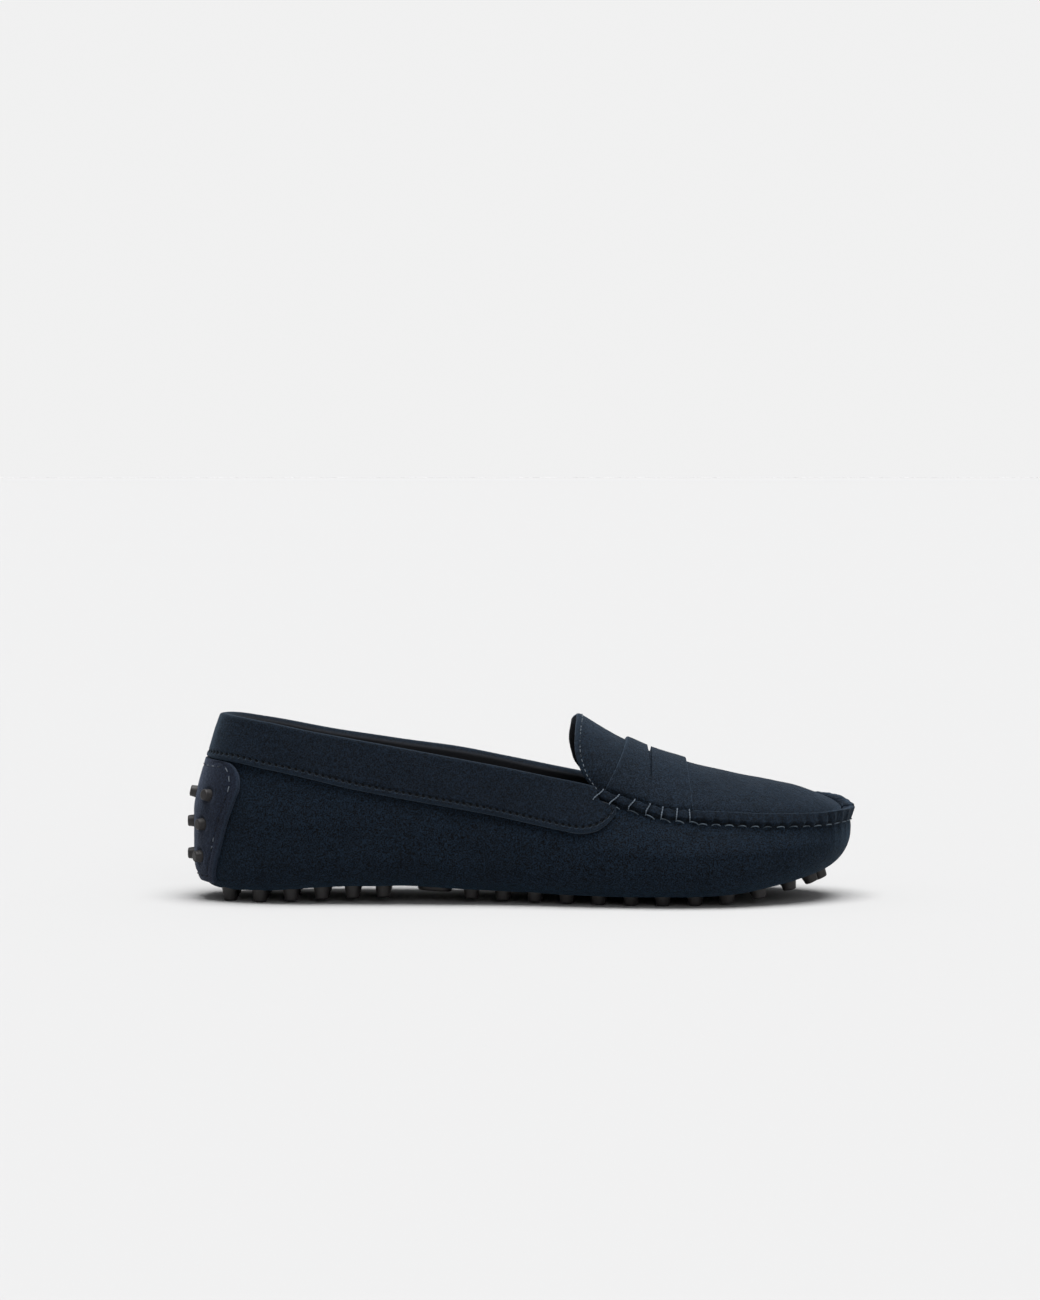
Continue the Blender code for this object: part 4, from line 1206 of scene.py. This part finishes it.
def make_tongue_thread(finish):
    """Small stitches along the tongue's edge."""
    across = np.linspace(-TONGUE_SIGHT, TONGUE_SIGHT, 2401)
    shares = TONGUE_BACK(across)
    step = 0.004
    steps = np.linalg.norm(apron_point(shares + step, across) - apron_point(shares, across), axis=-1)
    line = shares + TONGUE_STITCH / steps * step
    lengths = arc_lengths(apron_point(line, across))
    parts, out = stitch_parts(TONGUE_SEAM, 7)
    stitches = []
    for i in range(int(lengths[-1] / TONGUE_SEAM.pitch)):
        place = np.interp((i + parts) * TONGUE_SEAM.pitch, lengths, across)
        share = np.interp(place, across, line)
        stitches.append((apron_point(share, place, out), apron_normal(share, place)))
    return make_thread("tongue_stitches", stitches, TONGUE_SEAM.radius, finish, sides=6)


TAB_STITCH_TOP = 0.062      # parts of the tab's height between which its stitch line runs
TAB_STITCH_FOOT = 0.945


def make_tab_thread(finish):
    """Stitches inside the heel tab's border, down one side, round the foot and up the other."""
    part = np.linspace(0, 1, 400)
    half = np.linalg.norm(level_point(*tab_place(part, np.ones(400)))
                          - level_point(*tab_place(part, np.zeros(400))), axis=-1)
    inset = np.clip(1 - TAB_STITCH / half, 0.0, 1.0)
    inner = (part > TAB_STITCH_TOP) & (part < TAB_STITCH_FOOT)
    down, side = part[inner], inset[inner]
    foot = np.linspace(-side[-1], side[-1], 80)[1:-1]
    head = np.linspace(side[0], -side[0], 120)[1:-1]
    parts = np.concatenate((down, np.full(len(foot), TAB_STITCH_FOOT), down[::-1],
                            np.full(len(head), TAB_STITCH_TOP)))
    ring, level = tab_place(parts, np.concatenate((-side, foot, side[::-1], head)))
    stitches = side_stitches(TAB_SEAM, (ring, level, arc_lengths(level_point(ring, level))))
    return make_thread("heel_tab_stitches", stitches, TAB_SEAM.radius, finish)


def ridge_foot(ring):
    """Level of the ridge's lower line at a ring place."""
    return level_at(ring, level_point(ring, np.ones_like(ring))[..., 2] - RIDGE_HIGH)


WHIP_RADIUS = 0.00027
WHIP_PROUD = 0.0021
WHIP_POINTS = 26
WHIP_FACE = 0.62            # part of its path on the ridge's face
WHIP_LIFT = 0.00030
WHIP_SINK = 0.0011
WHIP_INTO = 0.0012


def make_whip_stitches(finish):
    """Thick stitches over the rear of the seam, the first ones slanting."""
    stitches = []
    for medial in (False, True):
        for whip in WHIPS:
            turns = turn_of(np.array((whip.low, whip.top)))
            stitches.append(whip_path(*(2 - turns if medial else turns), whip.foot))
    return make_thread("whip_stitches", stitches, WHIP_RADIUS, finish, strands=2)


def whip_path(low_ring, top_ring, foot):
    """Path of a whip stitch from the hole below the seam, over it and into the apron."""
    t = np.linspace(0, 1, WHIP_POINTS)
    rings = low_ring + (top_ring - low_ring) * smooth(t, 0.0, 0.75)
    low = ridge_foot(rings) + foot
    up = np.clip(t / WHIP_FACE, 0.0, 1.0)
    level = low + (1.0 - low) * up
    face = WHIP_PROUD * (0.10 + 0.90 * smooth(up, 0.0, 0.22))
    over = np.clip((t - WHIP_FACE) / (1 - WHIP_FACE), 0.0, 1.0)
    out = face * np.cos(over * np.pi / 2) - (WALL + WHIP_INTO) * smooth(over, 0.0, 1.0)
    lift = (0.6 * RIDGE_CROWN + WHIP_LIFT) * np.sin(np.pi * np.minimum(over * 1.15, 1.0))
    lift -= WHIP_SINK * smooth(over, 0.6, 1.0)
    out[0] -= WHIP_INTO
    return surface(rings, level, out, lift), directions(rings, level)[0]


DASH_RADIUS = 0.00021
DASH_SHARE = 0.62           # length of a dash against its stitch
DASH_START = 0.30           # and how far before its stitch it starts
DASH_RISE = 0.004
DASH_PROUD = 0.00100
DASH_DIVE = 0.00090


def make_seam_dashes(finish):
    """Running thread that shows as short dashes in the notches along the seam's foot."""
    stitches = []
    t = np.linspace(0, 1, STITCH_POINTS)
    for i in range(len(STITCHES) - 1):
        first, last = STITCHES[i], STITCHES[i + 1]
        gap = last - first
        lateral = first + last < 0
        whip = i if lateral else len(STITCHES) - 2 - i
        start = first - DASH_START * gap if lateral else last + DASH_START * gap
        foot = 0.0
        if whip < len(WHIPS):
            turn = turn_of(WHIPS[whip].low)
            start = seam_along(turn if lateral else 2 - turn)
            foot = max(WHIPS[whip].foot, 0.0)
        rings = seam_ring(start + (DASH_SHARE if lateral else -DASH_SHARE) * gap * t)
        level = ridge_foot(rings) + DASH_RISE + foot * (1 - 0.8 * t)
        path = surface(rings, level, DASH_PROUD - DASH_DIVE * (1 - arch(t)))
        stitches.append((path, directions(rings, level)[0]))
    return make_thread("seam_dashes", stitches, DASH_RADIUS, finish)


# Materials

def shader_nodes(name):
    """New material, its node tree and its shader."""
    made = bpy.data.materials.new(name)
    made.use_nodes = True
    return made, made.node_tree, made.node_tree.nodes["Principled BSDF"]


def wire(tree, node, settings):
    """Set inputs of a node to numbers, to colours or to what other nodes give."""
    for label, value in settings.items():
        if isinstance(value, bpy.types.NodeSocket):
            tree.links.new(value, node.inputs[label])
        elif isinstance(value, tuple):
            node.inputs[label].default_value = (*value, 1.0)
        else:
            node.inputs[label].default_value = value


def noise(tree, place, scale, detail=3.0, rough=0.6):
    node = tree.nodes.new("ShaderNodeTexNoise")
    wire(tree, node, {"Vector": place, "Scale": scale, "Detail": detail, "Roughness": rough})
    return node.outputs["Fac"]


def ramp(tree, value, stops):
    """Grey ramp between two (position, grey) stops."""
    node = tree.nodes.new("ShaderNodeValToRGB")
    for point, (position, grey) in zip(node.color_ramp.elements, stops):
        point.position = position
        point.color = (grey, grey, grey, 1.0)
    wire(tree, node, {"Fac": value})
    return node.outputs["Color"]


def mix(tree, kind, share, first, second):
    node = tree.nodes.new("ShaderNodeMix")
    node.data_type = "RGBA"
    node.blend_type = kind
    wire(tree, node, {"Factor": share, 6: first, 7: second})
    return node.outputs[2]


def lay(tree, under, share, strength, tone):
    """Colour with a tone laid over it, as strongly as a share from 0 to 1 says."""
    return mix(tree, "MIX", calculate(tree, "MULTIPLY", share, strength), under, tone)


def bump(tree, heights):
    """Chain of bumps from (height, depth in metres) pairs."""
    normal = None
    for height, depth in heights:
        node = tree.nodes.new("ShaderNodeBump")
        wire(tree, node, {"Strength": 1.0, "Distance": depth, "Height": height})
        if normal:
            tree.links.new(normal, node.inputs["Normal"])
        normal = node.outputs["Normal"]
    return normal


def object_place(tree):
    return tree.nodes.new("ShaderNodeTexCoord").outputs["Object"]


Suede = namedtuple("Suede", "colour dark light sheen tint speckle grain")
SIDE = Suede((0.0027, 0.0060, 0.0111), 0.70, 1.40, 0.20, (0.13, 0.27, 0.43), 1.0, 1.0)
# Seam ridge: the side suede painted a little darker, as painted shade on its face
SHADED_RIDGE = Suede((0.0025, 0.0055, 0.0104), 0.62, 1.50, 0.22, (0.20, 0.30, 0.42), 0.8, 1.0)
CUFF = Suede((0.0029, 0.0058, 0.0106), 0.78, 1.28, 0.30, (0.18, 0.28, 0.39), 0.8, 0.6)
# Apron and strap: the side suede painted lighter, with more sheen, as painted light on surfaces that face up
LIT_TOP = Suede((0.0044, 0.0080, 0.0136), 0.70, 1.38, 0.39, (0.21, 0.31, 0.44), 0.8, 0.9)
TAB = Suede((0.0060, 0.0086, 0.0160), 0.70, 1.40, 0.40, (0.25, 0.31, 0.44), 0.6, 0.8)
LINING_TONE = (0.0340, 0.0350, 0.0390)
# Pale tone of cut edges, also used for the painted highlights on the apron's toe rim and along the cuff's
# fold and lower edge
CUT_EDGE_AND_HIGHLIGHT = (0.0260, 0.0420, 0.0640)
# Painted shade for the ridge's foot and notches and for the dimples round the heel's back pebbles
PAINTED_SHADE_TONE = (0.0020, 0.0030, 0.0040)
HOLE_SHADE = (0.0012, 0.0014, 0.0018)
HOLE_RADIUS = 0.00058
HOLE_DEEP = 0.0004

# Fineness of the suede's variations, in noise cells per metre
PATCH_SCALE = 30.0
MOTTLE_SCALE = 620.0
FIBRE_SCALE = 1900.0
SPECK_SCALE = 1250.0
GLOSS_SCALE = 600.0
NAP_SCALE = 300.0
FINE_NAP_SCALE = 1700.0


def calculate(tree, kind, *values):
    """Maths node over sockets and numbers."""
    node = tree.nodes.new("ShaderNodeMath")
    node.operation = kind
    wire(tree, node, dict(enumerate(values)))
    return node.outputs[0]


def mark(tree, label):
    """The three values of a named mark."""
    source = tree.nodes.new("ShaderNodeAttribute")
    source.attribute_type = "GEOMETRY"
    source.attribute_name = label
    split = tree.nodes.new("ShaderNodeSeparateXYZ")
    tree.links.new(source.outputs["Vector"], split.inputs[0])
    return split.outputs


def needle_holes(tree):
    """1 in the needle holes of the cuff's stitch line and 0 elsewhere."""
    along, above, _ = mark(tree, "stitch_place")
    number = calculate(tree, "DIVIDE", along, BAND_STITCH_PITCH)
    turn = calculate(tree, "FRACT", calculate(tree, "ADD", number, 0.5))
    sideways = calculate(tree, "MULTIPLY", calculate(tree, "SUBTRACT", turn, 0.5), BAND_STITCH_PITCH)
    upward = calculate(tree, "SUBTRACT", above, BAND_STITCH)
    squares = [calculate(tree, "POWER", side, 2.0) for side in (sideways, upward)]
    far = calculate(tree, "SQRT", calculate(tree, "ADD", *squares))
    hole = calculate(tree, "SUBTRACT", 1.0, calculate(tree, "DIVIDE", far, HOLE_RADIUS * 1.5))
    steep = calculate(tree, "MULTIPLY", hole, 2.5)
    return calculate(tree, "MINIMUM", calculate(tree, "MAXIMUM", steep, 0.0), 1.0)


def suede(name, look, holes=False):
    """Napped suede: brushed patches, mottling, fibres that catch the light and a soft sheen."""
    made, tree, shader = shader_nodes(name)
    place = object_place(tree)
    patches = ramp(tree, noise(tree, place, PATCH_SCALE, 2.0, 0.5), ((0.30, 0.86), (0.72, 1.14)))
    mottle = noise(tree, place, MOTTLE_SCALE, 4.0, 0.65)
    mottle = ramp(tree, mottle, ((0.22, look.dark), (0.80, look.light)))
    soft, hard = 1.33 - 1.28 * look.speckle, 1.33 + 1.27 * look.speckle
    fibres = ramp(tree, noise(tree, place, FIBRE_SCALE, 2.0, 0.7), ((0.40, soft), (0.61, hard)))
    specks = ramp(tree, noise(tree, place, SPECK_SCALE, 2.0, 0.5), ((0.60, 0.0), (0.74, 1.0)))
    colour = look.colour
    for factor in (patches, mottle, fibres):
        colour = mix(tree, "MULTIPLY", 1.0, colour, factor)
    light = tuple(3.6 * value for value in look.colour)
    # The marks lay on pale cut edges with painted highlights, the lining tone inside, and painted shade
    pale, inside, shade_mark = mark(tree, "marks")
    for share, strength, tone in ((specks, 0.6 * look.speckle, light), (pale, 0.45, CUT_EDGE_AND_HIGHLIGHT),
                                  (inside, 0.9, LINING_TONE), (shade_mark, 0.8, PAINTED_SHADE_TONE)):
        colour = lay(tree, colour, share, strength, tone)
    heights = [(noise(tree, place, NAP_SCALE, 3.0), 0.00040 * look.grain),
               (noise(tree, place, FINE_NAP_SCALE, 4.0, 0.75), 0.00026 * look.grain)]
    if holes:
        # Painted shade in the needle holes, besides their bump
        hole = needle_holes(tree)
        colour = lay(tree, colour, hole, 0.9, HOLE_SHADE)
        heights.append((calculate(tree, "SUBTRACT", 1.0, hole), HOLE_DEEP))
    rough = ramp(tree, noise(tree, place, GLOSS_SCALE, 3.0), ((0.3, 0.82), (0.7, 0.98)))
    wire(tree, shader, {
        "Base Color": colour, "Roughness": rough, "Normal": bump(tree, heights),
        "Specular IOR Level": 0.14, "Sheen Weight": look.sheen, "Sheen Roughness": 0.42,
        "Sheen Tint": look.tint})
    return made


PALE_SCALE = 210.0
TWIST_SCALE = 2400.0
TWIST_DEEP = 0.00006


def part_pale_thread(name, dark, pale, often):
    """Thread that is dark for the most part, with paler stitches here and there."""
    made, tree, shader = shader_nodes(name)
    place = object_place(tree)
    share = ramp(tree, noise(tree, place, PALE_SCALE, 1.0, 0.4), ((often, 0.0), (often + 0.08, 1.0)))
    twist = bump(tree, ((noise(tree, place, TWIST_SCALE, 3.0), TWIST_DEEP),))
    wire(tree, shader, {
        "Base Color": mix(tree, "MIX", share, dark, pale), "Normal": twist,
        "Roughness": 0.8, "Specular IOR Level": 0.2})
    return made


def plain(name, colour, rough, spread, scale, depth, specular=0.4, sheen=0.0, tint=(1.0, 1.0, 1.0)):
    """Rubber, lining or thread: one colour with soft variation, roughness and a fine bump."""
    made, tree, shader = shader_nodes(name)
    place = object_place(tree)
    shade = ramp(tree, noise(tree, place, scale / 6, 3.0), ((0.28, 1 - spread), (0.74, 1 + spread)))
    fine = ramp(tree, noise(tree, place, scale, 3.0), ((0.25, 1 - spread / 2), (0.75, 1 + spread / 2)))
    tone = mix(tree, "MULTIPLY", 1.0, mix(tree, "MULTIPLY", 1.0, colour, shade), fine)
    gloss = ramp(tree, noise(tree, place, scale / 3, 3.0), ((0.3, rough - 0.08), (0.7, rough + 0.08)))
    heights = ((noise(tree, place, scale, 3.0), depth), (noise(tree, place, scale * 3, 2.0), depth / 3))
    wire(tree, shader, {
        "Base Color": tone, "Roughness": gloss, "Normal": bump(tree, heights),
        "Specular IOR Level": specular, "Sheen Weight": sheen, "Sheen Tint": tint})
    return made


# Stage, light and camera

CAMERA_FAR = 1.60
CAMERA_ELEVATION = math.radians(3.15)
CAMERA_TARGET = Vector((-0.0005, 0.0, 0.0956))
LENS = 115.0
SENSOR = 36.0
STAGE_HALF = 14.0
STAGE_BACK = 12.0
STAGE_LOW = -1.0
STAGE_HIGH = 8.0
PAPER = 0.570
BACKGROUND = 0.877


def plane(name, corners, finish):
    """Flat stage piece that isn't part of the shoe."""
    mesh = bpy.data.meshes.new(name)
    mesh.from_pydata(corners, [], [tuple(range(len(corners)))])
    mesh.materials.append(finish)
    made = add_object(name, mesh)
    return made


def make_stage():
    """Paper floor, and a lit backdrop that is only looked at and neither lights nor shades the floor."""
    paper, tree, shader = shader_nodes("pale_paper")
    wire(tree, shader, {"Base Color": (PAPER, PAPER, PAPER), "Roughness": 1.0, "Specular IOR Level": 0.0})
    half, back = STAGE_HALF, STAGE_BACK
    plane("floor", [(-half, -half, 0), (half, -half, 0), (half, half, 0), (-half, half, 0)], paper)
    glow, tree, shader = shader_nodes("lit_backdrop")
    wire(tree, shader, {
        "Base Color": (0.0, 0.0, 0.0), "Specular IOR Level": 0.0,
        "Emission Color": (BACKGROUND, BACKGROUND, BACKGROUND), "Emission Strength": 1.0})
    backdrop = plane("backdrop", [(-half, back, STAGE_LOW), (half, back, STAGE_LOW),
                                  (half, back, STAGE_HIGH), (-half, back, STAGE_HIGH)], glow)
    backdrop.visible_diffuse = False
    backdrop.visible_shadow = False


def sun(name, strength, width, direction):
    light = bpy.data.lights.new(name, "SUN")
    light.energy = strength
    light.angle = math.radians(width)
    add_object(name, light).rotation_euler = Vector(direction).to_track_quat("-Z", "Y").to_euler()


SKY = 0.22


def light_stage():
    world = bpy.data.worlds.new("studio")
    world.use_nodes = True
    world.node_tree.nodes["Background"].inputs["Color"].default_value = (SKY, SKY, SKY * 1.02, 1.0)
    bpy.context.scene.world = world
    sun("overhead_softbox", 4.05, 48.0, (-0.06, 0.10, -1.0))
    sun("front_fill", 0.30, 40.0, (-0.25, 1.0, -0.55))
    bpy.context.scene.view_settings.view_transform = "Standard"


def place_camera():
    lens = bpy.data.cameras.new("camera")
    lens.lens = LENS
    lens.sensor_width = SENSOR
    lens.clip_end = 40.0
    camera = add_object("camera", lens)
    away = Vector((0.0, -math.cos(CAMERA_ELEVATION), math.sin(CAMERA_ELEVATION)))
    camera.location = CAMERA_TARGET + away * CAMERA_FAR
    camera.rotation_euler = (-away).to_track_quat("-Z", "Y").to_euler()
    bpy.context.scene.camera = camera


def dress():
    """All pieces of the shoe, each with its finish."""
    side, cuff = suede("side_suede", SIDE), suede("cuff_suede", CUFF, holes=True)
    top, tab, ridge = suede("apron_suede", LIT_TOP), suede("tab_suede", TAB), suede("ridge_suede", SHADED_RIDGE)
    rubber = plain("satin_rubber", (0.0150, 0.0135, 0.0140), 0.52, 0.18, 900.0, 0.00004, 0.50)
    lining = plain("lining_leather", (0.0120, 0.0110, 0.0115), 0.72, 0.22, 700.0, 0.00008, 0.3, 0.15,
                   (0.3, 0.3, 0.32))
    whip_thread = plain("whip_thread", (0.105, 0.132, 0.165), 0.80, 0.35, 1400.0, 0.00006, 0.25)
    dash_thread = part_pale_thread("dash_thread", (0.030, 0.042, 0.054), (0.080, 0.105, 0.130), 0.40)
    edge_thread = part_pale_thread("tongue_thread", (0.020, 0.028, 0.036), (0.130, 0.155, 0.180), 0.40)
    tab_thread = part_pale_thread("tab_thread", (0.010, 0.012, 0.018), (0.110, 0.130, 0.155), 0.52)
    dark_thread = plain("cuff_thread", (0.0065, 0.0095, 0.0140), 0.80, 0.25, 2400.0, 0.00006, 0.25)
    settle(make_upper(side), "navy_suede", "upper")
    settle(make_apron(top), "navy_suede", "apron")
    settle(make_saddle_strap(top), "navy_suede", "saddle_strap")
    settle(make_seam_ridge(ridge), "navy_suede", "seam_ridge")
    settle(make_collar_band(cuff), "collar_suede", "collar_band")
    settle(make_heel_tab(tab), "navy_suede", "heel_tab")
    heel = float(corner_in(0.0)) + SHEET_SHORT, HEEL_LAST_ROW * LENGTH + SHEET_MARGIN
    fore = FORE_FIRST_ROW * LENGTH - SHEET_MARGIN, LENGTH - float(corner_in(LENGTH)) - SHEET_SHORT
    heel_sole = make_sole("heel_pebbles", HEEL_STUDS, HEEL_STUD_PROUD, *heel, rubber)
    fore_sole = make_sole("forefoot_pebbles", FORE_STUDS, FORE_STUD_PROUD, *fore, rubber)
    settle(heel_sole, "black_rubber", "heel_sole")
    settle(fore_sole, "black_rubber", "forefoot_sole")
    settle(make_heel_back_studs(rubber), "black_rubber", "heel_back_studs")
    settle(make_arch_plate(rubber), "black_rubber", "arch_plate")
    settle(make_insole(lining), "dark_lining", "insole")
    settle(make_collar_thread(dark_thread), "seam_thread")
    settle(make_tongue_thread(edge_thread), "seam_thread")
    settle(make_tab_thread(tab_thread), "seam_thread")
    settle(make_whip_stitches(whip_thread), "seam_thread")
    settle(make_seam_dashes(dash_thread), "seam_thread")


make_stage()
light_stage()
place_camera()
dress()
bpy.context.view_layer.update()
